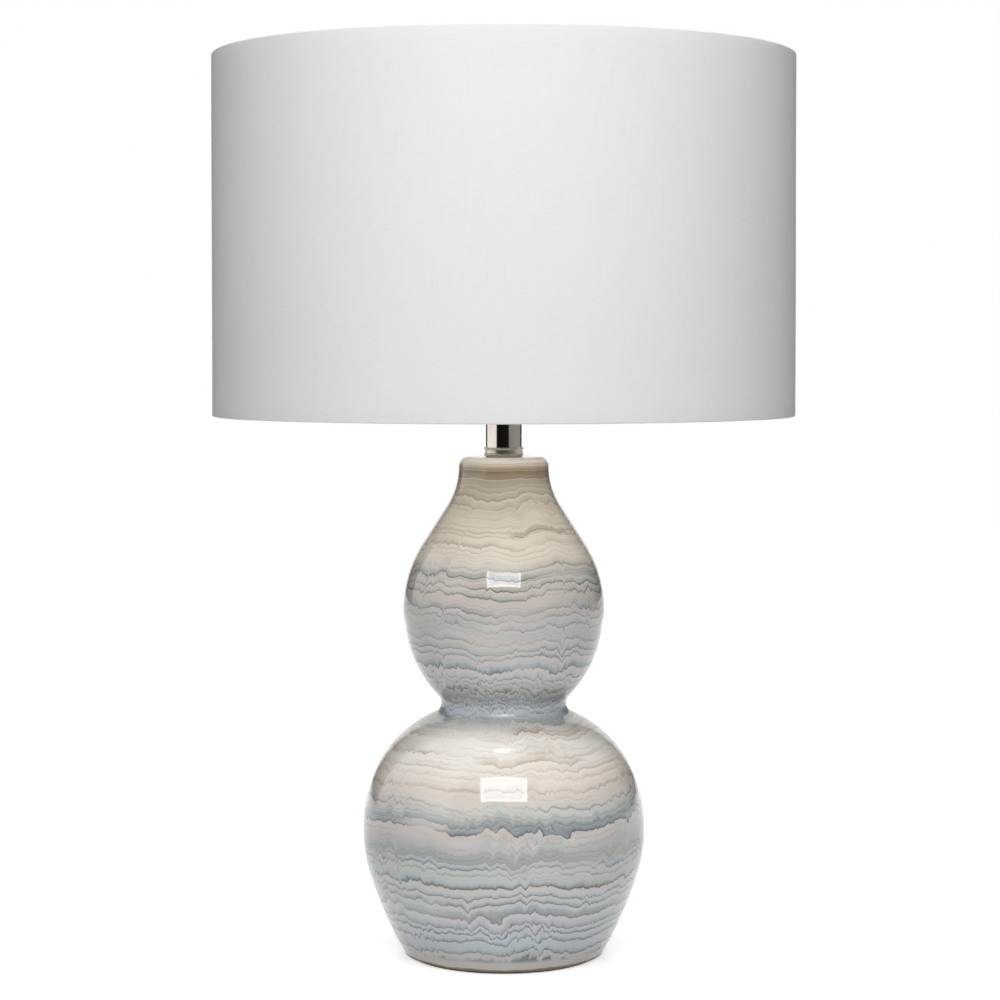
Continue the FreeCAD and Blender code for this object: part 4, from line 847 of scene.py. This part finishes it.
WHITE_WIRE = Moulded("white_wire", tone(232, 231, 226), 0.3, 400.0, clouded=0.95)
INSULATOR = Moulded("bulb_black", tone(30, 28, 34), 0.12)
CARD = PressedFibre("card", tone(150, 120, 84), 700.0, 0.00006)
FELT = PressedFibre("felt", tone(64, 66, 62), 1600.0)
BULB_GLASS = FrostedGlass("bulb_glass")


# ---- outlines and turned forms -----------------------------------------------------------------


def arc(centre: Sequence[float], radius: float, start: float, end: float, step: float) -> list[Point]:
    """Points along an arc, with both ends.

    Args:
        centre: Its centre.
        radius: Its radius.
        start: The angle of the first point, in degrees.
        end: The angle of the last point, in degrees.
        step: The most degrees between two points.

    Returns:
        The points.
    """
    count = max(2, math.ceil(abs(end - start) / step))
    angles = [math.radians(start + (end - start) * n / count) for n in range(count + 1)]
    return [(centre[0] + radius * math.cos(a), centre[1] + radius * math.sin(a)) for a in angles]


def straight(first: Point, last: Point, steps: int = 64) -> list[Point]:
    """Evenly spaced points along a line, with both ends, for a thread to be rolled into."""
    across, up = last[0] - first[0], last[1] - first[1]
    return [(first[0] + across * n / steps, first[1] + up * n / steps) for n in range(steps + 1)]


@dataclass(frozen=True)
class Thread:
    """A rolled thread between two heights, in the order of the lathe's inputs."""

    pitch: float = 1.0
    depth: float = 0.0
    foot: float = 0.0
    top: float = 0.0


THREAD_INPUTS = ("Thread Pitch", "Thread Depth", "Thread Foot", "Thread Top")


def lathe_tree() -> bpy.types.NodeTree:
    """Builds the Geometry Nodes tree that turns an outline about the upright axis.

    The outline is swept along a circle one metre across its middle line, so that its own x is the
    radius. A thread can be rolled into a band of it.

    Returns:
        The tree, with the inputs Outline, Sides, Material and those of a thread.
    """
    tree = bpy.data.node_groups.get("lathe")
    if tree is not None:
        return tree
    tree = bpy.data.node_groups.new("lathe", "GeometryNodeTree")
    inputs = {"Geometry": "Geometry", "Outline": "Object", "Sides": "Int", "Material": "Material"}
    inputs.update(dict.fromkeys(THREAD_INPUTS, "Float"))
    tree.interface.new_socket("Geometry", in_out="OUTPUT", socket_type="NodeSocketGeometry")
    for name, kind in inputs.items():
        tree.interface.new_socket(name, in_out="INPUT", socket_type="NodeSocket" + kind)
    board = Board(tree)
    given = tree.nodes.new("NodeGroupInput").outputs
    pitch, depth, foot, top = (Wire(board, given[name]) for name in THREAD_INPUTS)
    outline, sides, material = (Wire(board, given[name]) for name in ("Outline", "Sides", "Material"))

    def shape(kind: str, geometry: Wire, sockets: Mapping[Key, Value] | None = None) -> Wire:
        """Adds one step that changes the geometry."""
        return board.node("GeometryNode" + kind, None, {"Geometry": geometry, **(sockets or {})})

    path_radius = 1.0
    drawn = board.node("GeometryNodeObjectInfo", None, {"Object": outline}, "Geometry")
    shifted = shape("SetPosition", drawn, {"Offset": (-path_radius, 0.0, 0.0)})
    circle = {"Resolution": sides, "Radius": path_radius}
    path = board.node("GeometryNodeCurvePrimitiveCircle", {"mode": "RADIUS"}, circle)
    swept = board.node("GeometryNodeCurveToMesh", None, {"Curve": path, "Profile Curve": shifted})

    across, along, height = board.split(board.node("GeometryNodeInputPosition"))
    turn = along.turned_from(across) / (2.0 * math.pi)
    wave = ((height / pitch - turn) * 2.0 * math.pi).sine()
    run_in, run_out = (height - foot) / pitch, (top - height) / pitch
    ridge = run_in.most(0.0).least(1.0) * run_out.most(0.0).least(1.0)
    level = board.node("ShaderNodeCombineXYZ", None, {"X": across, "Y": along})
    outwards = board.node("ShaderNodeVectorMath", {"operation": "NORMALIZE"}, {0: level})
    sink = {0: outwards, "Scale": (wave * 0.5 - 0.5) * depth * ridge}
    inwards = board.node("ShaderNodeVectorMath", {"operation": "SCALE"}, sink)
    rolled = shape("SetPosition", swept, {"Offset": inwards})

    merged = shape("MergeByDistance", rolled, {"Distance": 1e-6})
    real = shape("RealizeInstances", shape("SetShadeSmooth", merged))
    board.node("NodeGroupOutput", None, {"Geometry": shape("SetMaterial", real, {"Material": material})})
    return tree


def baked(tree: bpy.types.NodeTree, inputs: Mapping[str, object], name: str) -> bpy.types.Object:
    """Runs a Geometry Nodes tree once and keeps its result as a plain mesh.

    Args:
        tree: The tree.
        inputs: Values by input name.
        name: The new object's name.

    Returns:
        An object at the origin with the tree's mesh and no modifier.
    """
    holder = linked(name, bpy.data.meshes.new(name + "_seed"))
    modifier = holder.modifiers.new("shape", "NODES")
    modifier.node_group = tree
    for item in tree.interface.items_tree:
        if item.in_out == "INPUT" and item.name in inputs:
            modifier[item.identifier] = inputs[item.name]
    depsgraph = bpy.context.evaluated_depsgraph_get()
    mesh = bpy.data.meshes.new_from_object(holder.evaluated_get(depsgraph), depsgraph=depsgraph)
    mesh.name = name
    holder.modifiers.remove(modifier)
    holder.data = mesh
    return holder


def turned(
    name: str,
    outline: Sequence[Point],
    finish: Finish,
    sides: int,
    closed: bool = True,
    thread: Thread = Thread(),
    crease: float = 32.0,
) -> bpy.types.Object:
    """Turns an outline about the lamp's axis.

    Args:
        name: The new object's name.
        outline: Points of radius and height, clockwise seen with the radius to the right, so that the
            faces point outwards.
        finish: What it is made of.
        sides: How many sides it has round the axis.
        closed: Whether the last point joins the first.
        thread: A thread to roll into it.
        crease: Edges bent more than this many degrees stay sharp.

    Returns:
        The object.
    """
    line = bpy.data.curves.new(name + "_outline", "CURVE")
    line.dimensions = "3D"
    spline = line.splines.new("POLY")
    spline.points.add(len(outline) - 1)
    for point, (across, up) in zip(spline.points, outline):
        point.co = (across, -up, 0.0, 1.0)
    spline.use_cyclic_u = closed
    guide = linked(name + "_outline", line)
    inputs = {"Outline": guide, "Sides": sides, "Material": finish.material()}
    inputs.update(zip(THREAD_INPUTS, astuple(thread)))
    made = baked(lathe_tree(), inputs, name)
    bpy.data.objects.remove(guide)
    made.data.set_sharp_from_angle(angle=math.radians(crease))
    return made


def sheet_mesh(
    name: str, rows: Sequence[Sequence[Place]], maps: Sequence[Sequence[Point]], finish: Finish
) -> bpy.types.Object:
    """A sheet of quads through rows of points, with its own map."""
    width = len(rows[0])
    points = [point for row in rows for point in row]
    places = [place for row in maps for place in row]
    corners = [r * width + c for r in range(len(rows) - 1) for c in range(width - 1)]
    mesh = bpy.data.meshes.new(name)
    mesh.from_pydata(points, [], [(n, n + width, n + width + 1, n + 1) for n in corners])
    mesh.polygons.foreach_set("use_smooth", [True] * len(corners))
    layer = mesh.uv_layers.new(name="cloth")
    for loop in mesh.loops:
        layer.data[loop.index].uv = places[loop.vertex_index]
    mesh.materials.append(finish.material())
    return linked(name, mesh)


class Lamp:
    """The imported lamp: its nodes, and how pieces are put on it."""

    def __init__(self) -> None:
        """Empties the scene and loads the frame."""
        for left in list(bpy.data.objects):
            bpy.data.objects.remove(left)
        self.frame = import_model()
        self.box = [list(corner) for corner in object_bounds()]

    def dress(self, finish: Finish, *nodes: str) -> None:
        """Gives a finish to CAD nodes that keep their own shape."""
        for name in nodes:
            materials = self.frame["nodes"][name].data.materials
            for index in range(len(materials)):
                materials[index] = finish.material()
            LOG.info("dressed %s in %s", name, finish.name)

    @staticmethod
    def fit(piece: bpy.types.Object, body: str, slot: Slot, node: str) -> None:
        """Puts a new piece on a body in place of a CAD node.

        Args:
            piece: The new piece.
            body: The body it moves with.
            slot: Not used.
            node: The node it stands for.
        """
        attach(piece, body)
        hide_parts(node)
        LOG.info("%s: %d faces on %s", piece.name, len(piece.data.polygons), body)

    @staticmethod
    def span(node: str) -> tuple[float, float, float]:
        """A round node's radius and its lowest and highest heights."""
        low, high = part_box(node)
        return (high.x - low.x) / 2.0, low.z, high.z


# ---- sub-assemblies ----------------------------------------------------------------------------


@dataclass
class Gourd:
    """The ceramic pot, two bulbs in one smooth line up to a lip, and what is under it."""

    belly_radius: float = 0.1053
    belly_height: float = 0.095
    belly_arc: float = 0.116
    flank_arc: float = 0.268
    flank_joint: float = 0.0615
    shoulder_arc: float = 0.0864
    shoulder_joint: float = 0.117
    waist_arc: float = 0.0079
    bulb_radius: float = 0.0751
    bulb_height: float = 0.2573
    bulb_arc: float = 0.0925
    neck_arc: float = 0.0537
    lip_radius: float = 0.0336
    lip_arc: float = 0.007
    bore: float = 0.0065
    bore_depth: float = 0.004
    foot_round: float = 0.002
    recess_mouth: float = 0.0665
    recess_flare: float = 0.0012
    recess_depth: float = 0.003
    sides: int = 240

    def outline(self) -> list[Point]:
        """The pot's outside from the bore at the lip down to the foot ring, and in to the recess.

        Each arc touches the next one, but for the short straight cone between neck and upper bulb.
        """
        _, foot, top = Lamp.span("gourd_body")
        belly = Vector((self.belly_radius - self.belly_arc, self.belly_height))
        flank_top = self._on(belly, self.belly_arc, self.flank_joint)
        shoulder_foot = self._on(belly, self.belly_arc, self.shoulder_joint)
        flank = flank_top + (belly - flank_top) * (self.flank_arc / self.belly_arc)
        shoulder = shoulder_foot + (belly - shoulder_foot) * (self.shoulder_arc / self.belly_arc)
        bulb = Vector((self.bulb_radius - self.bulb_arc, self.bulb_height))
        waist = self._between(shoulder, bulb)
        hollow = Vector((self.lip_radius + self.neck_arc, top - self.lip_arc))
        lip = Vector((self.lip_radius - self.lip_arc, top - self.lip_arc))
        line = bulb - hollow
        meet = math.acos((self.bulb_arc + self.neck_arc) / line.length)
        turn = math.degrees(math.atan2(-line.y, -line.x) - meet)
        waist_top, waist_foot = self._bearing(waist, bulb), self._bearing(waist, shoulder)
        belly_top, belly_foot = self._bearing(belly, shoulder_foot), self._bearing(belly, flank_top)
        shoulder_top = self._bearing(shoulder, waist)
        foot_end = math.degrees(math.asin((foot + self.foot_round * 0.62 - flank.y) / self.flank_arc))

        points = [(self.bore, top - self.bore_depth), (self.bore, top)]
        points += arc(lip, self.lip_arc, 90.0, 0.0, 7.5)
        points += arc(hollow, self.neck_arc, 180.0, 180.0 + turn, 1.5)[1:]
        points += arc(bulb, self.bulb_arc, turn, self._bearing(bulb, waist), 1.5)
        for centre, radius, start, end, step in (
            (waist, self.waist_arc, waist_top % 360.0, waist_foot % 360.0, 8.0),
            (shoulder, self.shoulder_arc, shoulder_top, belly_top, 1.5),
            (belly, self.belly_arc, belly_top, belly_foot, 1.5),
            (flank, self.flank_arc, self._bearing(flank, flank_top), foot_end, 0.6),
        ):
            points += arc(centre, radius, start, end, step)[1:]
        edge = points[-1][0]
        for inwards, up in ((0.22, 0.25), (0.62, 0.04), (1.1, 0.0)):
            points.append((edge - self.foot_round * inwards, foot + self.foot_round * up))
        points.append((self.recess_mouth, foot))
        points.append((self.recess_mouth + self.recess_flare, foot + self.recess_depth))
        return points

    @staticmethod
    def _bearing(centre: Vector, target: Vector) -> float:
        """The angle from one point to another in degrees."""
        return math.degrees(math.atan2(target.y - centre.y, target.x - centre.x))

    @staticmethod
    def _on(centre: Vector, radius: float, height: float) -> Vector:
        """The outer point of a circle at a height."""
        rise = height - centre.y
        return centre + Vector((math.sqrt(radius**2 - rise**2), rise))

    def _between(self, shoulder: Vector, bulb: Vector) -> Vector:
        """The centre of the small arc that touches shoulder and bulb from outside."""
        reach_low = self.shoulder_arc + self.waist_arc
        reach_high = self.bulb_arc + self.waist_arc
        line = bulb - shoulder
        along = (reach_low**2 - reach_high**2 + line.length_squared) / (2.0 * line.length)
        aside = math.sqrt(reach_low**2 - along**2)
        way = line.normalized()
        return shoulder + way * along + Vector((way.y, -way.x)) * aside

    def build(self, lamp: Lamp) -> None:
        """Makes the glazed pot and dresses what is under it."""
        pot = turned("glazed_gourd", self.outline(), GLAZE, self.sides, closed=False, crease=50.0)
        lamp.fit(pot, "root", Slot.GLAZE, "gourd_body")
        lamp.dress(FELT, "felt_pad")
        lamp.dress(RUBBER, "cord_grommet")
        lamp.dress(STEEL, "bottom_washer", "lock_washer", "bottom_nut", "threaded_pipe")


@dataclass
class Neck:
    """The turned ring, the polished tube and its lid between the gourd and the harp."""

    def build(self, lamp: Lamp) -> None:
        """Dresses the gasket, ring, tube, lid and saddle."""
        lamp.dress(GASKET, "neck_gasket")
        lamp.dress(SATIN_NICKEL, "neck_ring")
        lamp.dress(NICKEL, "neck_tube", "neck_cap", "harp_saddle")


@dataclass
class Socket:
    """The lamp holder: cap, shell, card liner, core, screw shell, contact and switch."""

    wall: float = 0.0004
    contact_hole: float = 0.005
    thread_pitch: float = 0.00363
    thread_depth: float = 0.0003
    plain_rim: float = 0.002
    sides: int = 80

    def build(self, lamp: Lamp) -> None:
        """Rolls the screw shell, a cup of thin sheet with a hole in its floor, and dresses the rest."""
        outer, foot, top = Lamp.span("screw_shell")
        inner, floor = outer - self.wall, foot + self.wall
        outline = [
            (self.contact_hole, floor),
            *straight((inner, floor), (inner, top)),
            *straight((outer, top), (outer, foot)),
            (self.contact_hole, foot),
        ]
        low, high = foot + self.plain_rim, top - self.plain_rim
        thread = Thread(self.thread_pitch, self.thread_depth, low, high)
        shell = turned("rolled_screw_shell", outline, SOCKET_BRASS, self.sides, thread=thread)
        lamp.fit(shell, "root", Slot.SOCKET_METAL, "screw_shell")
        lamp.dress(NICKEL, "socket_cap", "socket_shell")
        lamp.dress(STEEL, "cap_set_screw")
        lamp.dress(CARD, "socket_liner")
        lamp.dress(PHENOLIC, "socket_core")
        lamp.dress(BRASS, "centre_contact", "terminal_screws", "switch_bushing", "switch_shaft")
        lamp.dress(BLACK_PLASTIC, "switch_knob")


@dataclass
class Bulb:
    """The frosted bulb with its screw cap."""

    wall: float = 0.0005
    shoulder: float = 0.003
    flare: float = 0.00025
    plug: float = 0.0092
    neck: float = 0.0127
    thread_pitch: float = 0.00363
    thread_depth: float = 0.0008
    sides: int = 80

    def build(self, lamp: Lamp) -> None:
        """Rolls the cap, from its flared edge down to the insulator, and dresses the rest."""
        flared, foot, top = Lamp.span("bulb_cap")
        outer, low, high = flared - self.flare, foot + self.shoulder, top - self.shoulder
        inner = outer - self.wall
        outline = [
            (self.neck, top),
            (flared, top),
            *straight((outer, high), (outer, low)),
            (self.plug, foot),
            (self.plug - self.wall, foot),
            *straight((inner, low + self.wall), (inner, high - self.wall)),
            (self.neck, high),
        ]
        thread = Thread(self.thread_pitch, self.thread_depth, low, high)
        cap = turned("rolled_bulb_cap", outline, CAP_METAL, self.sides, thread=thread)
        lamp.fit(cap, "bulb", Slot.BULB_METAL, "bulb_cap")
        lamp.dress(BULB_GLASS, "bulb_glass")
        lamp.dress(CAP_METAL, "bulb_contact")
        lamp.dress(INSULATOR, "bulb_insulator")


@dataclass
class Harp:
    """The wire harp, its ferrules, its swivelling stud and the finial."""

    def build(self, lamp: Lamp) -> None:
        """Dresses the harp's nodes and the finial."""
        lamp.dress(NICKEL, "harp_loop", "left_ferrule", "right_ferrule", "harp_stud", "finial")


@dataclass
class DrumShade:
    """The linen cover on its stiff liner, rolled over a wire at each edge and lapped at the back."""

    radius: float = 0.216
    hem_roll: float = 0.0032
    hem_corner: float = 0.0014
    hem_tuck: float = 0.0036
    cloth: float = 0.0005
    lap: float = 0.011
    lap_rise: float = 0.00045
    lap_climb: float = 1.2
    lap_azimuth: float = 82.0
    columns: int = 420
    side_rows: int = 26
    wander: float = 0.00010

    def side_line(self) -> tuple[list[Point], list[float]]:
        """The cloth's line from the tuck inside the upper edge, over, down and into the lower one.

        Returns:
            Points of inset from the outer face and height, and the distance along the cloth.
        """
        _, foot, top = Lamp.span("shade_fabric")
        corner, inside = self.hem_corner, 2.0 * self.hem_roll
        low, high = foot + corner, top - corner
        line = [(inside, top - self.hem_roll - self.hem_tuck)]
        for inset, height, start in ((inside - corner, high, 0.0), (corner, high, 90.0)):
            line += arc((inset, height), corner, start, start + 90.0, 22.5)
        line += straight((0.0, high), (0.0, low), self.side_rows)[1:-1]
        for inset, height, start in ((corner, low, 180.0), (inside - corner, low, 270.0)):
            line += arc((inset, height), corner, start, start + 90.0, 22.5)
        line += [(inside, foot + self.hem_roll + self.hem_tuck)]
        run = [0.0]
        for before, after in zip(line, line[1:]):
            run.append(run[-1] + math.dist(before, after))
        return line, run

    def build(self, lamp: Lamp) -> None:
        """Makes the linen cover and dresses the liner, wires and spider."""
        line, run = self.side_line()
        around = 2.0 * math.pi * self.radius + self.lap
        start = math.radians(self.lap_azimuth) - self.lap / 2.0 / self.radius
        upper, lower = line[0][1] + self.hem_tuck, line[-1][1] - self.hem_tuck
        rows, maps = [], []
        for (inset, height), along in zip(line, run):
            row, places = [], []
            for column in range(self.columns + 1):
                distance = around * column / self.columns
                turn = start + distance / self.radius
                lift = self._lapped(around - distance) * self.lap_rise
                uneven = self.wander * math.sin(3.0 * turn + height * 9.0) * math.sin(height * 23.0)
                reach = self.radius - inset + lift + uneven
                level = height + lift * ((height > upper) - (height < lower))
                row.append((reach * math.cos(turn), reach * math.sin(turn), level))
                places.append((distance, run[-1] - along))
            rows.append(row)
            maps.append(places)
        cover = sheet_mesh("linen_cover", rows, maps, LINEN)
        thick = cover.modifiers.new("cloth", "SOLIDIFY")
        thick.thickness = self.cloth
        thick.offset = -1.0
        thick.use_even_offset = True
        lamp.fit(cover, "shade", Slot.LINEN, "shade_fabric")
        lamp.dress(STYRENE, "shade_liner")
        lamp.dress(WHITE_WIRE, "shade_top_ring", "shade_bottom_ring", "shade_spider")

    def _lapped(self, left: float) -> float:
        """How far the cloth has climbed onto its own start, from 0 to 1, by the length that is left."""
        climb = self.lap * self.lap_climb
        part = min(1.0, max(0.0, (self.lap + climb - left) / climb))
        return part * part * (3.0 - 2.0 * part)


# ---- studio ------------------------------------------------------------------------------------


def aimed(name: str, data: bpy.types.ID, place: Place, aim: float) -> bpy.types.Object:
    """A new object at a place, facing that height on the lamp's axis."""
    made = linked(name, data)
    way = Vector((0.0, 0.0, aim)) - Vector(place)
    made.matrix_world = Matrix.Translation(place) @ way.to_track_quat("-Z", "Y").to_matrix().to_4x4()
    return made


def flat_piece(name: str, across: float, up: float, material: bpy.types.Material) -> bpy.types.Mesh:
    """A level rectangle about the origin, with half sizes."""
    mesh = bpy.data.meshes.new(name)
    corners = [(-across, -up, 0.0), (across, -up, 0.0), (across, up, 0.0), (-across, up, 0.0)]
    mesh.from_pydata(corners, [], [(0, 1, 2, 3)])
    mesh.materials.append(material)
    return mesh


@dataclass(frozen=True)
class AreaLamp:
    """A soft rectangular lamp. Glossy things don't show it."""

    name: str
    place: Place
    aim: float
    size: tuple[float, float]
    power: float

    def build(self) -> None:
        """Adds the lamp."""
        data = bpy.data.lights.new(self.name, "AREA")
        data.shape = "RECTANGLE"
        data.size, data.size_y = self.size
        data.energy = self.power
        aimed(self.name, data, self.place, self.aim).visible_glossy = False


@dataclass(frozen=True)
class LampFace:
    """A lamp's bright face as it shows in glossy things. Nothing else sees it.

    Where soft is 0 it is a softbox's cool cloth with a warm white rim, and else it fades out over that
    share of its half width. The rim starts at a share of the half width aside and of the half height
    aloft.
    """

    name: str
    place: Place
    aim: float
    size: tuple[float, float]
    shine: float
    soft: float = 0.0
    cloth: Colour = (0.76, 0.83, 1.0)
    cloth_share: float = 0.78
    rim: Colour = (1.0, 0.97, 0.90)
    rim_share: float = 1.22
    rim_aside: tuple[float, ...] = (0.84, 0.90)
    rim_aloft: tuple[float, ...] = (0.80, 0.86)

    def build(self) -> None:
        """Adds the face."""
        material = bpy.data.materials.new(self.name + "_finish")
        board = cleared(material)
        across, up = self.size[0] / 2.0, self.size[1] / 2.0
        x, y, _ = board.split(board.place())
        aside, aloft = abs(x / across), abs(y / up)
        if self.soft:
            colour, bright = (1.0, 1.0, 1.0), aside.most(aloft).fade(1.0, 1.0 - self.soft)
        else:
            rim = aside.fade(*self.rim_aside).most(aloft.fade(*self.rim_aloft))
            colour = board.mix(rim, self.cloth, self.rim)
            bright = self.cloth_share + rim * (self.rim_share - self.cloth_share)
        clear = board.node("ShaderNodeBsdfTransparent")
        seen = board.either(board.ray("Is Glossy Ray"), clear, board.glow(colour, bright * self.shine))
        board.node("ShaderNodeOutputMaterial", None, {"Surface": seen})
        aimed(self.name, flat_piece(self.name, across, up, material), self.place, self.aim)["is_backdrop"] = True


@dataclass
class Studio:
    """A white table and backdrop, one softbox above the camera, and soft light from all round."""

    camera_distance: float = 1.985
    camera_height: float = 0.4566
    camera_pitch: float = 1.67
    camera_shift: tuple[float, float] = (-0.0038, -0.08)
    lens: float = 95.92
    lights: tuple[AreaLamp | LampFace, ...] = (
        AreaLamp("softbox", (0.0, -0.99, 1.10), 0.34, (0.70, 0.76), 6.0),
        AreaLamp("overhead", (0.0, -0.28, 2.3), 0.3, (0.9, 0.5), 18.0),
        LampFace("softbox_face", (0.0, -1.044, 1.029), 0.34, (0.86, 0.58), 9.0),
        LampFace("overhead_face", (0.0, -0.28, 2.3), 0.3, (0.66, 0.34), 6.0, 0.8),
        AreaLamp("fill", (0.0, -1.95, 0.55), 0.35, (1.0, 0.6), 10.5),
        AreaLamp("back", (0.0, 2.1, 0.75), 0.38, (1.0, 0.8), 24.0),
    )
    ambient: float = 0.02
    floor_tone: float = 0.82
    floor_glow: float = 0.66
    floor_radius: float = 6.0
    floor_shaded: tuple[float, ...] = (0.25, 1.4)
    floor_mirrored: tuple[float, ...] = (-1.3, -0.7)
    left_wall: float = 1.10
    left_bearings: tuple[float, ...] = (-133.0, -127.0, -50.0, -44.0)
    right_wall: float = 0.31
    right_bearings: tuple[float, ...] = (30.0, 36.0, 127.0, 133.0)
    wall_behind: float = 0.99
    behind_bearings: tuple[float, ...] = (156.0, 161.0)
    dark_room: float = 0.006

    def build(self) -> None:
        """Makes the camera, lights, floor and world."""
        self._camera()
        for light in self.lights:
            light.build()
        self._floor()
        self._world()

    def _camera(self) -> None:
        """Places the camera at the photograph's viewing angle, tipped a little and shifted the rest."""
        data = bpy.data.cameras.new("camera")
        data.lens = self.lens
        data.sensor_width = 36.0
        data.clip_end = 50.0
        data.shift_x, data.shift_y = self.camera_shift
        camera = linked("camera", data)
        camera.location = (0.0, -self.camera_distance, self.camera_height)
        camera.rotation_euler = (math.radians(90.0 - self.camera_pitch), 0.0, 0.0)
        bpy.context.scene.camera = camera

    def _floor(self) -> None:
        """Adds the table top: white to the camera, with a soft shadow, and clear from below."""
        material = bpy.data.materials.new("floor_finish")
        board = cleared(material)
        place = board.place()
        away = board.node("ShaderNodeVectorMath", {"operation": "LENGTH"}, {0: place}, "Value")
        bright = self.floor_glow + away.fade(*self.floor_shaded) * (1.0 - self.floor_glow)
        mirrored = board.split(place)[1].fade(*self.floor_mirrored) * board.ray("Is Glossy Ray")
        seen = (board.ray("Is Camera Ray") + mirrored + board.ray("Is Transmission Ray")).least(1.0)
        glow = board.glow((1.0, 1.0, 1.0), seen * bright)
        diffuse = board.node("ShaderNodeBsdfDiffuse", None, {"Color": (self.floor_tone,) * 3})
        both = board.node("ShaderNodeAddShader", None, {0: diffuse, 1: glow})
        below = board.node("ShaderNodeNewGeometry", None, None, "Backfacing")
        sided = board.either(below, both, board.node("ShaderNodeBsdfTransparent"))
        board.node("ShaderNodeOutputMaterial", None, {"Surface": sided})
        linked("floor", flat_piece("floor", self.floor_radius, self.floor_radius, material))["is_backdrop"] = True

    def _world(self) -> None:
        """Adds soft light from all round, with white behind the lamp and pale walls in gloss."""
        world = bpy.data.worlds.new("studio")
        board = cleared(world)
        seen = (board.ray("Is Camera Ray") + board.ray("Is Transmission Ray")).least(1.0)
        glossy = board.ray("Is Glossy Ray")
        across, along, _ = board.split(board.node("ShaderNodeTexCoord", None, None, "Generated"))
        bearing = across.turned_from(along * -1.0) * (180.0 / math.pi)
        left = bearing.within(*self.left_bearings) * self.left_wall
        right = bearing.within(*self.right_bearings) * self.right_wall
        behind = abs(bearing).fade(*self.behind_bearings) * self.wall_behind
        mirror = self.dark_room + left + right + behind
        strength = seen + (1.0 - seen) * (glossy * mirror + (1.0 - glossy) * self.ambient)
        shader = board.node("ShaderNodeBackground", None, {"Color": (1.0, 1.0, 1.0), "Strength": strength})
        board.node("ShaderNodeOutputWorld", None, {"Surface": shader})
        bpy.context.scene.world = world


def main() -> None:
    """Builds the lamp from the foot up, then the studio round it."""
    logging.basicConfig(level=logging.INFO, format="%(name)s: %(message)s")
    bpy.context.scene.view_settings.view_transform = "Standard"
    lamp = Lamp()
    for assembly in (Gourd(), Neck(), Socket(), Bulb(), Harp(), DrumShade()):
        assembly.build(lamp)
    Studio().build()
    bpy.context.view_layer.update()


if __name__ == "__main__":
    main()
